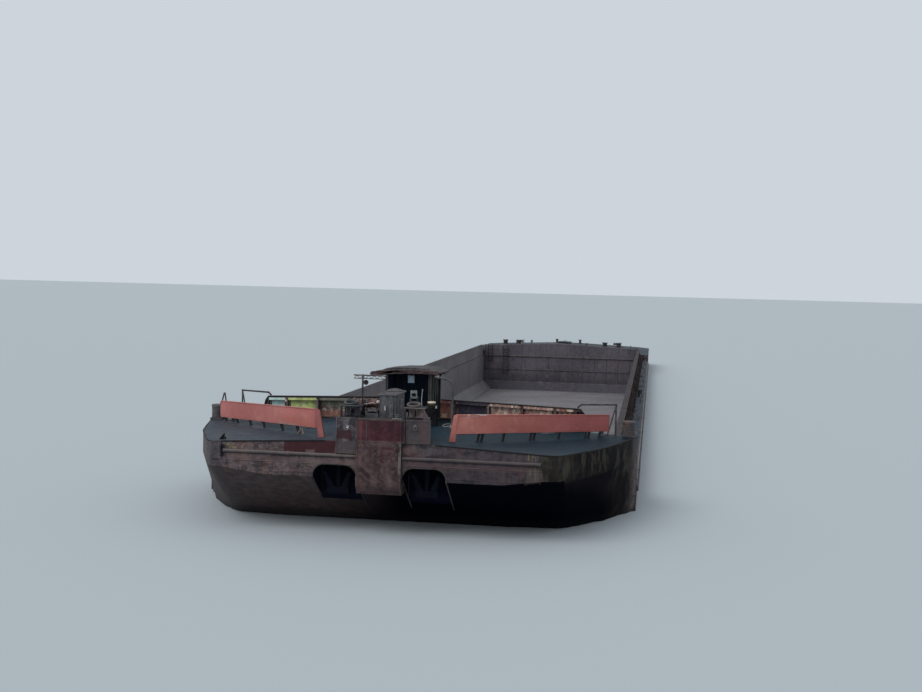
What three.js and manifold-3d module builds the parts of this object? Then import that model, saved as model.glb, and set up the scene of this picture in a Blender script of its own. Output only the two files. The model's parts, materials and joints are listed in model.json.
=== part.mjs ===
// River barge: an open-hold push barge, as a 1:10 scale model.
// Every size below is the real barge's, in metres. The meshes come out in millimetres of the model.
// Frame: +X to the bow, +Y to port, +Z up, origin under the middle of the flat bottom.
// Places along the hull are stations: metres aft of the bow's front face.
import * as THREE from 'three';
import { mergeVertices } from 'three/addons/utils/BufferGeometryUtils.js';
import Module from 'manifold-3d';

const wasm = await Module();
wasm.setup();

// Driving dimensions
const MODEL_SCALE = 10;
const MM_PER_METRE = 1000 / MODEL_SCALE;
const GAP = 0.003;

const hull = {
  length: 84, halfBeam: 7.6, mainDeck: 3.5, doubleBottom: 0.6, bilge: 0.35,
  foreEnd: 6.5, aftStart: 72.15, holdWall: 6.62,
};
const foredeck = {
  corner: 5.1, cornerY: 5.0, camber: 0.049, knuckle: 4.13, knuckleOuter: 4.3, rakeFoot: 6.2,
};
const quarterdeck = { side: 3.95, camber: 0.042, rakeStart: 75.5, transomFoot: 2.1, cornerCut: 0.9 };
const coaming = {
  top: 4.41, inner: 6.69, plate: 0.12, flange: 0.26, flangeThick: 0.08, stayStart: 2.4, stayPitch: 2.18,
};
const frontWall = {
  aft: 6.5, plate: 0.1, height: 0.763, fall: 0.03, rake: 0.28, ends: { starboard: 5.55, port: 5.65 },
};
const aftWall = { front: 72.0, top: 4.41, fall: 0.042, stringer: 3.56 };
const column = { halfWidth: 0.69, head: { port: 0.8, foot: 5.3 }, proud: 0.12, top: 5.98, foot: 3.68 };
const flank = {
  inner: { starboard: 0.7, port: 0.81 }, outer: { starboard: 1.33, port: 1.56 },
  foot: { starboard: 4.89, port: 5.27 }, proud: 0.06, top: 5.99,
};
const platform = { halfWidth: 1.34, aft: 1.02, rearPort: 0.6, rearAft: 2.1, top: 5.96 };
const niche = { inner: 0.7, outer: 2.06, top: 4.54, foot: 3.0, depth: 1.1, cornerRadius: 0.36 };
const fenderBar = { z: 4.805, radius: 0.062, inner: 0.71, outer: 4.87 };
const slope = { width: 0.75, height: 0.72 };
const strake = { low: 3.06, high: 3.3, proud: 0.08 };
const holdFloor = { top: 0.63, halfWidth: 5.85, margin: 0.77 };

// Deck heights over the keel
const foreDeckAt = (y) => foredeck.corner + foredeck.camber * (foredeck.cornerY - Math.abs(y));
const aftDeckAt = (y) => quarterdeck.side + quarterdeck.camber * (hull.halfBeam - Math.abs(y));
const xAt = (station) => hull.length / 2 - station;

// Materials
const finish = (color, roughness, metalness) =>
  new THREE.MeshStandardMaterial({ color, roughness, metalness });
const materials = {
  hull: finish(0x3a2a26, 0.85, 0.2),
  deck: finish(0x39444a, 0.85, 0.1),
  hold: finish(0x6e6560, 0.85, 0.2),
  coaming: finish(0x5c4a42, 0.8, 0.2),
  board: finish(0xa63a32, 0.6, 0.05),
  column: finish(0x6b2430, 0.6, 0.1),
  grey: finish(0x8a8d8c, 0.7, 0.2),
  black: finish(0x1e1f21, 0.6, 0.3),
  steel: finish(0x77736d, 0.5, 0.6),
  roof: finish(0x7a5a4c, 0.85, 0.1),
};

// Geometry helpers
function solid(geometry) {
  geometry.deleteAttribute('normal');
  geometry.deleteAttribute('uv');
  const merged = mergeVertices(geometry, 1e-5);
  return new wasm.Manifold(new wasm.Mesh({
    numProp: 3,
    vertProperties: new Float32Array(merged.attributes.position.array),
    triVerts: new Uint32Array(merged.index.array),
  }));
}

function join(list) {
  return list.reduce((sum, item) => sum.add(item));
}

function cut(body, list) {
  return list.reduce((rest, item) => rest.subtract(item), body);
}

function shapeOf(points) {
  return new THREE.Shape(points.map(([u, v]) => new THREE.Vector2(u, v)));
}

function extruded(points, depth) {
  return new THREE.ExtrudeGeometry(shapeOf(points), { depth, bevelEnabled: false, steps: 1 });
}

// Box between two stations, two widths and two heights
function box([s0, s1], [y0, y1], [z0, z1]) {
  const geometry = new THREE.BoxGeometry(s1 - s0, y1 - y0, z1 - z0);
  geometry.translate(xAt((s0 + s1) / 2), (y0 + y1) / 2, (z0 + z1) / 2);
  return solid(geometry);
}

// Plan outline of [station, y] points, raised from z0 to z1
function planPrism(points, z0, z1) {
  const geometry = extruded(points.map(([s, y]) => [xAt(s), y]), z1 - z0);
  geometry.translate(0, 0, z0);
  return solid(geometry);
}

// Side outline of [station, z] points, across from y0 to y1
function sidePrism(points, y0, y1) {
  const geometry = extruded(points.map(([s, z]) => [xAt(s), z]), y1 - y0);
  geometry.rotateX(Math.PI / 2);
  geometry.translate(0, y1, 0);
  return solid(geometry);
}

// Cross outline of [y, z] points, along from station s0 to s1
function crossPrism(points, s0, s1) {
  const geometry = extruded(points, s1 - s0);
  const turn = new THREE.Matrix4().makeBasis(
    new THREE.Vector3(0, 1, 0), new THREE.Vector3(0, 0, 1), new THREE.Vector3(1, 0, 0));
  geometry.applyMatrix4(turn);
  geometry.translate(xAt(s1), 0, 0);
  return solid(geometry);
}

// Closed body through rings of [station, y, z] points, first ring lowest
function loft(rings) {
  const count = rings[0].length;
  const points = rings.flat().map(([s, y, z]) => [xAt(s), y, z]);
  const flat = rings[0].map(([s, y]) => new THREE.Vector2(xAt(s), y));
  const cap = THREE.ShapeUtils.triangulateShape(flat, []);
  const turnsLeft = THREE.ShapeUtils.area(flat) > 0;
  const triangles = [];
  const add = (a, b, c) => triangles.push(...(turnsLeft ? [a, b, c] : [a, c, b]));
  const last = (rings.length - 1) * count;
  const upward = (t) => {
    const [a, b, c] = t.map((i) => flat[i]);
    return (b.x - a.x) * (c.y - a.y) - (b.y - a.y) * (c.x - a.x) > 0 === turnsLeft;
  };
  for (const t of cap) {
    const [a, b, c] = upward(t) ? t : [t[0], t[2], t[1]];
    add(a, c, b);
    add(last + a, last + b, last + c);
  }
  for (let r = 0; r < rings.length - 1; r += 1) {
    for (let i = 0; i < count; i += 1) {
      const j = (i + 1) % count;
      const [a, b, c, d] = [r * count + i, r * count + j, (r + 1) * count + j, (r + 1) * count + i];
      add(a, b, c);
      add(a, c, d);
    }
  }
  const geometry = new THREE.BufferGeometry();
  geometry.setAttribute('position', new THREE.Float32BufferAttribute(points.flat(), 3));
  geometry.setIndex(triangles);
  return solid(geometry);
}

// Upright plate between two [station, y] ends, with a low and a high edge at each end
function wall(a, b, thickness, low, high) {
  const along = new THREE.Vector2(b[0] - a[0], b[1] - a[1]).normalize();
  const [ns, ny] = [-along.y * thickness / 2, along.x * thickness / 2];
  const ring = (zs) => [
    [a[0] + ns, a[1] + ny, zs[0]], [b[0] + ns, b[1] + ny, zs[1]],
    [b[0] - ns, b[1] - ny, zs[1]], [a[0] - ns, a[1] - ny, zs[0]],
  ];
  return loft([ring(low), ring(high)]);
}

const point = ([s, y, z]) => new THREE.Vector3(xAt(s), y, z);

// Round bar between two [station, y, z] ends
function bar(a, b, radius, sides = 8) {
  const [from, to] = [point(a), point(b)];
  const geometry = new THREE.CylinderGeometry(radius, radius, from.distanceTo(to), sides);
  const direction = to.clone().sub(from).normalize();
  const upright = new THREE.Vector3(0, 1, 0);
  geometry.applyQuaternion(new THREE.Quaternion().setFromUnitVectors(upright, direction));
  geometry.translate(...from.add(to).multiplyScalar(0.5).toArray());
  return solid(geometry);
}

// Bars through a list of points, each a little longer so that the corners join
function bars(points, radius, sides = 8) {
  return join(points.slice(1).map((b, i) => {
    const a = points[i];
    const length = point(a).distanceTo(point(b));
    const grow = (from, to) => to.map((v, k) => v + (v - from[k]) * radius / length);
    const start = i === 0 ? a : grow(b, a);
    const end = i === points.length - 2 ? b : grow(a, b);
    return bar(start, end, radius, sides);
  }));
}

// Disc or drum about an upright or athwart axis
const post = (s, y, z0, z1, radius, sides = 16) => bar([s, y, z0], [s, y, z1], radius, sides);
const drum = (s, z, y0, y1, radius, sides = 20) => bar([s, y0, z], [s, y1, z], radius, sides);

// Closed body turned about an upright axis, through [radius, z] rings from the lowest up
function turned(s, y, profile, sides = 20) {
  return loft(profile.map(([radius, z]) => Array.from({ length: sides }, (_, k) => {
    const angle = (2 * Math.PI * k) / sides;
    return [s - radius * Math.cos(angle), y + radius * Math.sin(angle), z];
  })));
}

// One named mesh, scaled to the model in millimetres
const barge = new THREE.Group();
function part(name, body, material) {
  const mesh = body.getMesh();
  const geometry = new THREE.BufferGeometry();
  geometry.setAttribute('position', new THREE.Float32BufferAttribute(mesh.vertProperties, 3));
  geometry.setIndex(Array.from(mesh.triVerts));
  geometry.scale(MM_PER_METRE, MM_PER_METRE, MM_PER_METRE);
  const flat = geometry.toNonIndexed();
  flat.computeVertexNormals();
  const item = new THREE.Mesh(flat, material);
  item.name = name;
  barge.add(item);
}

const sides = [{ name: 'starboard', sign: -1 }, { name: 'port', sign: 1 }];
const span = (sign, near, far) => (sign > 0 ? [near, far] : [-far, -near]);

// What stands on a cambered deck is made a little too deep, then trimmed to the deck
const under = (deckAt, s0, s1) => crossPrism([
  [-9, 0], [9, 0], [9, deckAt(9) + GAP], [0, deckAt(0) + GAP], [-9, deckAt(9) + GAP],
], s0, s1);
const onForedeck = (body) => body.subtract(under(foreDeckAt, -2, 9));
const onQuarterdeck = (body) => body.subtract(under(aftDeckAt, 70, 86));

// Half of the bow in plan. Columns: deck edge's station and y, knuckle's height, keel's station and y
const bowLines = [
  [0, 0, foredeck.knuckle, 6.2, 0],
  [0, 3.7, foredeck.knuckle, 6.2, 3.2],
  [0, 4.95, foredeck.knuckleOuter, 6.2, 4.3],
  [0.03, 5.2, foredeck.knuckleOuter, 6.21, 4.6],
  [0.15, 5.38, foredeck.knuckleOuter, 6.22, 4.9],
  [0.4, 5.54, foredeck.knuckleOuter, 6.23, 5.2],
  [0.95, 5.78, foredeck.knuckleOuter, 6.25, 5.6],
  [2.9, 6.6, foredeck.knuckleOuter, 6.32, 6.3],
  [5.57, 7.35, foredeck.knuckleOuter, 6.42, 6.9],
  [6.5, 7.6, foredeck.knuckleOuter, 6.5, 7.25],
];
const mirrored = (half) => [...half.slice(1).map(([s, y, z]) => [s, -y, z]).reverse(), ...half];

function hullBow() {
  const raked = [0, 1 / 3, 2 / 3, 1].map((t) => mirrored(bowLines.map(([s, y, knuckle, keelS, keelY]) => [
    keelS + (s - keelS) * t, keelY + (y - keelY) * Math.min(1, t * 1.5), knuckle * t,
  ])));
  const upper = mirrored(bowLines.map(([s, y]) => [s, y, foreDeckAt(0) + 0.1]));
  const deckCut = crossPrism([
    [-9, foreDeckAt(9)], [0, foreDeckAt(0)], [9, foreDeckAt(9)], [9, 7], [-9, 7],
  ], -1, 8);
  const niches = sides.map(({ sign }) => {
    const [low, high] = span(sign, niche.inner, niche.outer);
    const r = niche.cornerRadius;
    const arc = (cy, from) => [0, 1, 2, 3, 4].map((k) => {
      const angle = from + (k * Math.PI) / 8;
      return [cy + r * Math.cos(angle), niche.top - r + r * Math.sin(angle)];
    });
    const foot = [[low, niche.foot], [high, niche.foot]];
    return crossPrism([...foot, ...arc(high - r, 0), ...arc(low + r, Math.PI / 2)], -1, niche.depth);
  });
  return cut(loft([...raked, upper]), [deckCut, ...niches]);
}
part('hull_bow', hullBow(), materials.hull);

// Middle body: double bottom, side tanks and the slopes at the foot of the hold
const midSpan = [hull.foreEnd + GAP, hull.aftStart - GAP];
const { halfBeam: HB, bilge: BG, doubleBottom: DB, holdWall: HW } = hull;
const bottomSection = [[-HB + BG, 0], [HB - BG, 0], [HB, BG], [HB, DB], [-HB, DB], [-HB, BG]];
const floorPlating = box([hull.foreEnd + holdFloor.margin, aftWall.front - holdFloor.margin],
  [-holdFloor.halfWidth, holdFloor.halfWidth], [DB - 0.1, holdFloor.top]);
part('hull_double_bottom', crossPrism(bottomSection, ...midSpan).add(floorPlating), materials.hull);
for (const { name, sign } of sides) {
  part(`hull_side_${name}`, box(midSpan, span(sign, HW, HB), [DB + GAP, hull.mainDeck]), materials.hull);
}

const slopeFoot = DB + GAP;
const slopeTop = DB + slope.height;
const floorSpan = [hull.foreEnd + GAP, aftWall.front - GAP];
const slopeAt = (y) => slopeTop - ((HW - GAP - y) * (slopeTop - slopeFoot)) / slope.width;
const sideSlope = (sign, outer, inner, foot, lift) => crossPrism([
  [sign * outer, foot], [sign * inner, foot], [sign * inner, slopeAt(inner) + lift],
  [sign * outer, slopeAt(outer) + lift],
], ...floorSpan);
for (const { name, sign } of sides) {
  const toe = HW - GAP - slope.width + 0.03;
  part(`hold_slope_${name}`, sideSlope(sign, HW - GAP, toe, slopeFoot, 0), materials.hold);
}
const endSlopes = [
  { name: 'forward', high: floorSpan[0], low: floorSpan[0] + slope.width },
  { name: 'aft', high: floorSpan[1], low: floorSpan[1] - slope.width },
];
for (const { name, high, low } of endSlopes) {
  const whole = sidePrism([[high, slopeFoot], [low, slopeFoot], [high, slopeTop]], -HW + 0.1, HW - 0.1);
  const beside = sides.map(({ sign }) => sideSlope(sign, HW, HW - slope.width - 0.01, 0, 0.01));
  part(`hold_slope_${name}`, cut(whole, beside), materials.hold);
}

// Stern block with its raised deck, raked bottom and cut corners
function hullStern() {
  const { aftStart: s0, length: s1 } = hull;
  const q = quarterdeck;
  const profile = sidePrism([[s0, 0], [q.rakeStart, 0], [s1, q.transomFoot], [s1, 5], [s0, 5]], -HB, HB);
  const c = q.cornerCut;
  const plan = planPrism([
    [s0, -HB], [s1 - c, -HB], [s1, -HB + c], [s1, HB - c], [s1 - c, HB], [s0, HB],
  ], 0, 5);
  const section = crossPrism([
    [-HB + BG, 0], [HB - BG, 0], [HB, BG], [HB, q.side], [0, aftDeckAt(0)], [-HB, q.side], [-HB, BG],
  ], s0, s1);
  return profile.intersect(plan).intersect(section);
}
part('hull_stern', hullStern(), materials.hull);

// Side coamings with a flange on top and stays on the deck side
for (const { name, sign } of sides) {
  const { top, inner, plate, flange, flangeThick, stayStart, stayPitch } = coaming;
  const foot = hull.mainDeck + GAP;
  const pieces = [
    box(midSpan, span(sign, inner, inner + plate), [foot, top]),
    box(midSpan, span(sign, inner - 0.05, inner - 0.05 + flange), [top - flangeThick, top]),
  ];
  for (let s = midSpan[0] + stayStart; s < midSpan[1] - 0.5; s += stayPitch) {
    pieces.push(crossPrism([
      [sign * (inner + plate / 2), foot], [sign * (inner + 0.5), foot],
      [sign * (inner + 0.2), top - 0.04], [sign * (inner + plate / 2), top - 0.04],
    ], s, s + 0.06));
  }
  part(`coaming_${name}`, join(pieces), materials.coaming);
}

// Forward coaming on the foredeck, with stiffeners on its front and a dark cap rail
function forwardCoaming() {
  const { aft, plate, height, fall, ends, rake } = frontWall;
  const topAt = (y) => foredeck.corner + height + fall * (ends.port - Math.abs(y));
  const foot = foredeck.corner - 0.2;
  const shoulder = ends.starboard - 0.07;
  const outline = [
    [-ends.starboard - 0.03, foot], [ends.port + rake, foot], [ends.port, topAt(ends.port)], [0, topAt(0)],
    [-shoulder, topAt(shoulder)], [-ends.starboard, topAt(shoulder) - 0.11],
  ];
  const plateBody = crossPrism(outline, aft - plate, aft);
  const cap = crossPrism([
    [-ends.starboard, topAt(shoulder) - 0.11], [0, topAt(0) - 0.1],
    [ends.port + 0.02, topAt(ends.port) - 0.1], [ends.port, topAt(ends.port)],
    [0, topAt(0)], [-shoulder, topAt(shoulder)],
  ], aft - 0.26, aft - 0.01);
  const stiffenersAt = [0.12, 1.27, 2.43, 3.62, 4.76, 5.46];
  const stiffeners = sides.flatMap(({ sign }) => stiffenersAt.map((y) => crossPrism([
    [sign * y - 0.04, foot], [sign * y + 0.04, foot],
    [sign * y + 0.04, topAt(y) - 0.05], [sign * y - 0.04, topAt(y) - 0.05],
  ], aft - 0.24, aft - 0.02)));
  return onForedeck(join([plateBody, cap, ...stiffeners]));
}
part('coaming_forward', forwardCoaming(), materials.coaming);

// Aft bulkhead of the hold, with one stringer across it
function aftBulkhead() {
  const w = HW - 0.02;
  const topAt = (y) => aftWall.top + aftWall.fall * (w - Math.abs(y));
  const outline = [[-w, DB + GAP], [w, DB + GAP], [w, topAt(w)], [0, topAt(0)], [-w, topAt(w)]];
  const plate = crossPrism(outline, aftWall.front, hull.aftStart - GAP);
  const stringer = box([aftWall.front - 0.1, aftWall.front + 0.05], [-w, w],
    [aftWall.stringer - 0.05, aftWall.stringer + 0.05]);
  return plate.add(stringer);
}
part('bulkhead_aft', aftBulkhead(), materials.hold);

// Push column on the bow's centre line, its flank plates and the platform behind them
function pushColumn() {
  const { halfWidth, head, proud, top, foot } = column;
  const rake = (z) => ((foredeck.knuckle - z) / foredeck.knuckle) * foredeck.rakeFoot - 0.02;
  const body = sidePrism([
    [-proud, foot + 0.25], [-proud, top], [-GAP, top], [-GAP, foredeck.knuckle - 0.01],
    [rake(foot), foot], [-proud + 0.15, foot],
  ], -halfWidth, halfWidth);
  return body.add(box([-proud, -GAP], [0, head.port], [head.foot, top]));
}
part('push_column_bow', pushColumn(), materials.column);
for (const { name, sign } of sides) {
  const { inner, outer, proud, top, foot } = flank;
  const ys = span(sign, inner[name], outer[name]);
  part(`column_flank_${name}`, box([-proud, -GAP], ys, [foot[name], top]), materials.grey);
}
const { halfWidth: PW, aft: PA, rearPort: RP, rearAft: RA } = platform;
const platformPlan = [[0, -PW], [0, PW], [PA, PW], [PA, RP], [RA, RP], [RA, -PW]];
part('windlass_platform', onForedeck(planPrism(platformPlan, foredeck.corner, platform.top)), materials.grey);

// Roller fairleads on the platform: a frame with a ring on top, and two upright rollers in each
const fairlead = {
  front: 0.1, aft: 0.68, middle: { starboard: 0.93, port: 1.03 }, half: 0.31,
  base: 0.03, height: 0.37, plate: 0.035, post: 0.05,
  rollerRadius: 0.098, rollerY: { starboard: [0.81, 1.06], port: [0.9, 1.15] }, rollerAt: 0.39,
  ringY: { starboard: 0.99, port: 0.95 }, ringRadius: 0.215, ringHole: 0.14, ringFront: 0.04, ringAft: 0.14,
};
for (const { name, sign } of sides) {
  const f = fairlead;
  const z0 = platform.top + GAP;
  const ys = span(sign, f.middle[name] - f.half, f.middle[name] + f.half);
  const ringY = sign * f.ringY[name];
  const corners = [f.front, f.aft - f.post].flatMap((s) => [ys[0], ys[1] - f.post].map((y) =>
    box([s, s + f.post], [y, y + f.post], [z0, z0 + f.height])));
  const top = z0 + f.height;
  const [ringFore, ringBack] = [f.rollerAt - f.ringRadius, f.rollerAt + f.ringRadius];
  const ring = cut(post(f.rollerAt, ringY, top - 0.02, top + 0.3, f.ringRadius, 20), [
    post(f.rollerAt, ringY, top, top + 1, f.ringHole, 20),
    sidePrism([[ringFore, top + f.ringFront], [ringBack, top + f.ringAft], [ringBack, top + 1],
      [ringFore, top + 1]], ys[0], ys[1]),
  ]);
  part(`fairlead_frame_${name}`, join([
    box([f.front, f.aft], ys, [z0, z0 + f.base]),
    box([f.front, f.aft], ys, [top - f.plate, top]),
    ...corners, ring,
  ]), materials.black);
  f.rollerY[name].forEach((y, i) => {
    const [low, high] = [z0 + f.base, top - f.plate];
    part(`fairlead_roller_${name}_${i === 0 ? 'inner' : 'outer'}`, join([
      post(f.rollerAt, sign * y, low + 0.05, high - 0.05, f.rollerRadius, 16),
      post(f.rollerAt, sign * y, low + GAP, high - GAP, 0.03, 8),
    ]), materials.steel);
  });
}

// Engine casing of the windlass: an open box, and its brimmed lid with a vent cap, hinged at the port edge
const casing = { front: 0.3, aft: 1.6, y0: -0.07, y1: 0.41, height: 0.7, wall: 0.05, brim: 0.05 };
const ventCap = {
  station: 1.3, neck: 0.11, profile: [[0.24, 0.005], [0.27, 0.015], [0.22, 0.045], [0.1, 0.075]],
};
const casingTop = platform.top + casing.height;
part('windlass_casing', cut(
  box([casing.front, casing.aft], [casing.y0, casing.y1], [platform.top + GAP, casingTop]),
  [box([casing.front + casing.wall, casing.aft - casing.wall],
    [casing.y0 + casing.wall, casing.y1 - casing.wall], [platform.top + 0.06, casingTop + 1])],
), materials.grey);
function casingLid() {
  const { front, aft, y0, y1, brim } = casing;
  const low = casingTop + GAP;
  const [middle, top] = [(y0 + y1) / 2, low + 0.04];
  return join([
    box([front - brim, aft + brim], [y0 - brim, y1 + brim], [low, top]),
    post(ventCap.station, middle, low + 0.02, top + 0.02, ventCap.neck, 12),
    turned(ventCap.station, middle, ventCap.profile.map(([radius, rise]) => [radius, top + rise])),
  ]);
}
part('windlass_casing_lid', casingLid(), materials.grey);

// Windlass: a bed with two bearing stands, and the turning drum between them
const windlass = {
  at: 1.45, z: platform.top + 0.3, y0: -1.32, y1: -0.2, stand: 0.1, drumRadius: 0.11, flange: 0.18,
};
function windlassBed() {
  const { at, z, y0, y1, stand } = windlass;
  const z0 = platform.top + GAP;
  const outline = [[at - 0.25, z0], [at + 0.25, z0], [at + 0.09, z + 0.1], [at - 0.09, z + 0.1]];
  const standAt = (y) => sidePrism(outline, y, y + stand);
  return join([box([at - 0.35, at + 0.35], [y0, y1], [z0, z0 + 0.05]), standAt(y0), standAt(y1 - stand)]);
}
part('windlass_bed', windlassBed(), materials.grey);
function windlassDrum() {
  const { at, z, y0, y1, stand, drumRadius, flange } = windlass;
  const [low, high] = [y0 + stand, y1 - stand];
  return join([
    drum(at, z, low + GAP, high - GAP, 0.04, 10),
    drum(at, z, low + 0.1, high - 0.1, drumRadius),
    ...[low + 0.06, low + 0.36, high - 0.12].map((y) => drum(at, z, y, y + 0.05, flange)),
  ]);
}
part('windlass_drum', windlassDrum(), materials.steel);

// Stowed anchors, one hanging in each niche by its shank
for (const { name, sign } of sides) {
  const y = (sign * (niche.inner + niche.outer)) / 2;
  const s = 0.62;
  const crownZ = 3.72;
  const flukes = [-1, 1].map((side) => loft([
    [[s - 0.12, y + side * 0.16 - 0.1, crownZ], [s + 0.12, y + side * 0.16 - 0.1, crownZ],
      [s + 0.12, y + side * 0.16 + 0.1, crownZ], [s - 0.12, y + side * 0.16 + 0.1, crownZ]],
    [[s - 0.3, y + side * 0.4 - 0.05, crownZ + 0.55], [s - 0.26, y + side * 0.4 - 0.05, crownZ + 0.57],
      [s - 0.26, y + side * 0.4 + 0.05, crownZ + 0.57], [s - 0.3, y + side * 0.4 + 0.05, crownZ + 0.55]],
  ]));
  part(`anchor_${name}`, join([
    box([s - 0.07, s + 0.07], [y - 0.06, y + 0.06], [crownZ - 0.05, niche.top - GAP]),
    box([s - 0.14, s + 0.14], [y - 0.34, y + 0.34], [crownZ - 0.14, crownZ + 0.06]),
    ...flukes,
  ]), materials.black);
}

// Deck shelter: two side walls and a back wall, open to the front, under a curved roof
const shelter = {
  front: 4.55, aft: 6.22, y0: -0.82, y1: 0.7, wall: 0.05, roof: [-1.29, 0.98], thick: 0.11,
  eaves: 6.93, rise: 0.115, crown: 0.3, crownHalf: 1.6, lean: 0.035,
};
const roofUnder = (y) =>
  shelter.eaves + shelter.rise * (1 - ((y - shelter.crown) / shelter.crownHalf) ** 2);
const roofFront = xAt(shelter.front - 0.2);
const leanAft = (body) => body.transform([
  1, 0, shelter.lean, 0, 0, 1, 0, 0, 0, 0, 1, 0, 0, 0, -shelter.lean * roofFront, 1,
]);
function shelterWalls() {
  const { front, aft, y0, y1, wall: t } = shelter;
  const steps = [0, 0.25, 0.5, 0.75, 1].map((k) => y1 + (y0 - y1) * k);
  const outline = [[y0, foreDeckAt(0) - 0.2], [y1, foreDeckAt(0) - 0.2],
    ...steps.map((y) => [y, roofUnder(y) - GAP])];
  const hollow = box([front - 1, aft - t], [y0 + t, y1 - t], [4, 8]);
  return onForedeck(leanAft(crossPrism(outline, front, aft)).subtract(hollow));
}
part('shelter_walls', shelterWalls(), materials.grey);
function shelterRoof() {
  const [low, high] = shelter.roof;
  const ys = Array.from({ length: 13 }, (_, k) => low + ((high - low) * k) / 12);
  const under = ys.map((y) => [y, roofUnder(y)]);
  const over = [...ys].reverse().map((y) => [y, roofUnder(y) + shelter.thick]);
  return leanAft(crossPrism([...under, ...over], shelter.front - 0.2, shelter.aft + 0.1));
}
part('shelter_roof', shelterRoof(), materials.roof);

// Bent vent pipe beside the shelter, and the signal post with its short arm
const pipeY = 1.5;
part('vent_pipe', onForedeck(bars([
  [4.3, 0.9, 6.95], [4.3, 1.24, 6.9], [4.3, 1.42, 6.82], [4.3, pipeY, 6.66], [4.3, pipeY, foredeck.corner],
], 0.04)), materials.grey);
const signal = { station: 0.95, y: -0.77, height: 1.26, arm: [-1.05, 0.0] };
part('signal_post', join([
  post(signal.station, signal.y, platform.top + GAP, platform.top + signal.height, 0.03, 8),
  bar(...signal.arm.map((y) => [signal.station, y, platform.top + signal.height - 0.03]), 0.022, 8),
  post(signal.station, signal.y, platform.top + GAP, platform.top + 0.04, 0.07, 12),
]), materials.black);

// Breakwater: a V of two boards raised on legs, each leg a little inboard of its board at three heights.
// Ends are [station, half width], and edges are heights over the deck's corner
const legInset = { foot: 0.06, head: 0.03, top: 0.02 };
const breakwater = {
  starboard: {
    inner: [0.92, 2.16], outer: [5.78, 7.02], low: [0.4, 0.03], high: [0.985, 0.6], foot: [0.72, 1.98],
    posts: [1.85, 2.95, 3.75, 4.45, 5.15, 5.62],
  },
  port: {
    inner: [0.92, 2.16], outer: [5.67, 6.62], low: [0.4, 0.12], high: [0.985, 0.67], foot: [1.0, 2.05],
    posts: [1.72, 2.46, 3.29, 4.18, 5.05, 5.5],
  },
};
for (const { name, sign } of sides) {
  const b = breakwater[name];
  const lift = (list) => list.map((z) => foredeck.corner + z);
  const at = ([s, y]) => [s, sign * y];
  const along = (s) => (s - b.inner[0]) / (b.outer[0] - b.inner[0]);
  const widthAt = (s) => b.inner[1] + (b.outer[1] - b.inner[1]) * along(s);
  const topAt = (s) => foredeck.corner + b.high[0] + (b.high[1] - b.high[0]) * along(s);
  const board = wall(at(b.inner), at(b.outer), 0.06, lift(b.low), lift(b.high));
  const bottomAt = (s) => foredeck.corner + b.low[0] + (b.low[1] - b.low[0]) * along(s);
  const ring = ([s, y], [before, behind], [inward, outward], z) => [
    [s - before, sign * (y - inward), z], [s + behind, sign * (y - inward), z],
    [s + behind, sign * (y + outward), z], [s - before, sign * (y + outward), z],
  ];
  const legs = b.posts.map((s) => {
    const y = widthAt(s);
    return loft([
      ring([s + 0.04, y - legInset.foot], [0.03, 0.03], [0.03, 0.03], foredeck.corner - 0.1),
      ring([s + 0.02, y - legInset.head], [0.03, 0.03], [0.03, 0.03], bottomAt(s)),
      ring([s + 0.02, y - legInset.top], [0.03, 0.03], [0.03, 0.03], topAt(s) - 0.06),
    ]);
  });
  const brace = loft([
    ring(b.foot, [0.05, 0.05], [0.1, 0.1], foredeck.corner),
    ring(b.inner, [0.03, 0.07], [0.06, 0.08], topAt(b.inner[0])),
  ]);
  part(`breakwater_${name}`, onForedeck(join([board, brace, ...legs])), materials.board);
}

// Rail frames at the aft edge of the foredeck, from a braced post outboard to the forward coaming's cap
const railFrame = {
  station: 6.38, outer: { starboard: 6.44, port: 6.84 }, bend: { starboard: 5.48, port: 5.66 },
  inner: { starboard: 5.37, port: 5.52 }, top: 6.05, dip: { starboard: 5.915, port: 5.9 },
};
for (const { name, sign } of sides) {
  const { station: s, outer, bend, inner, top, dip } = railFrame;
  const post = outer[name];
  const foot = foredeck.corner - 0.2;
  const inward = (y, z) => [s, sign * y, z];
  part(`foredeck_rail_${name}`, onForedeck(join([
    bars([inward(post, foot), inward(post, top), inward(bend[name], top - 0.04),
      inward(inner[name], dip[name])], 0.03),
    bar(inward(post, top - 0.02), [s - 0.2, sign * (post - 0.3), foot], 0.025),
  ])), materials.black);
}

// Steps from the foredeck down to each side deck, and the sloped bulwark wing outside them
for (const { name, sign } of sides) {
  const steps = { top: foreDeckAt(7.2) - 0.06, inner: 6.98, outer: 7.4, run: 1.5, count: 5 };
  const foot = hull.mainDeck + GAP;
  const rise = steps.top - foot;
  const stringer = (y) => sidePrism([
    [hull.foreEnd + GAP, steps.top - 0.16], [hull.foreEnd + GAP, steps.top], [hull.foreEnd + 0.12, steps.top],
    [hull.foreEnd + steps.run, foot], [hull.foreEnd + steps.run - 0.14, foot],
  ], y, y + 0.04);
  const ys = span(sign, steps.inner, steps.outer);
  const treads = Array.from({ length: steps.count }, (_, i) => {
    const k = (i + 1) / (steps.count + 1);
    const s = hull.foreEnd + 0.02 + steps.run * k;
    const z = steps.top - rise * k;
    return box([s - 0.13, s + 0.09], [ys[0] + 0.01, ys[1] - 0.01], [z - 0.03, z]);
  });
  const stringers = [stringer(ys[0]), stringer(ys[1] - 0.04)];
  part(`foredeck_steps_${name}`, join([...stringers, ...treads]), materials.deck);
  part(`bulwark_wing_${name}`, sidePrism([
    [hull.foreEnd + GAP, foot], [hull.foreEnd + 3.0, foot],
    [hull.foreEnd + 2.8, foot + 0.2], [hull.foreEnd + GAP, foreDeckAt(7.55)],
  ], ...span(sign, 7.52, 7.6)), materials.hull);
}

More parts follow.
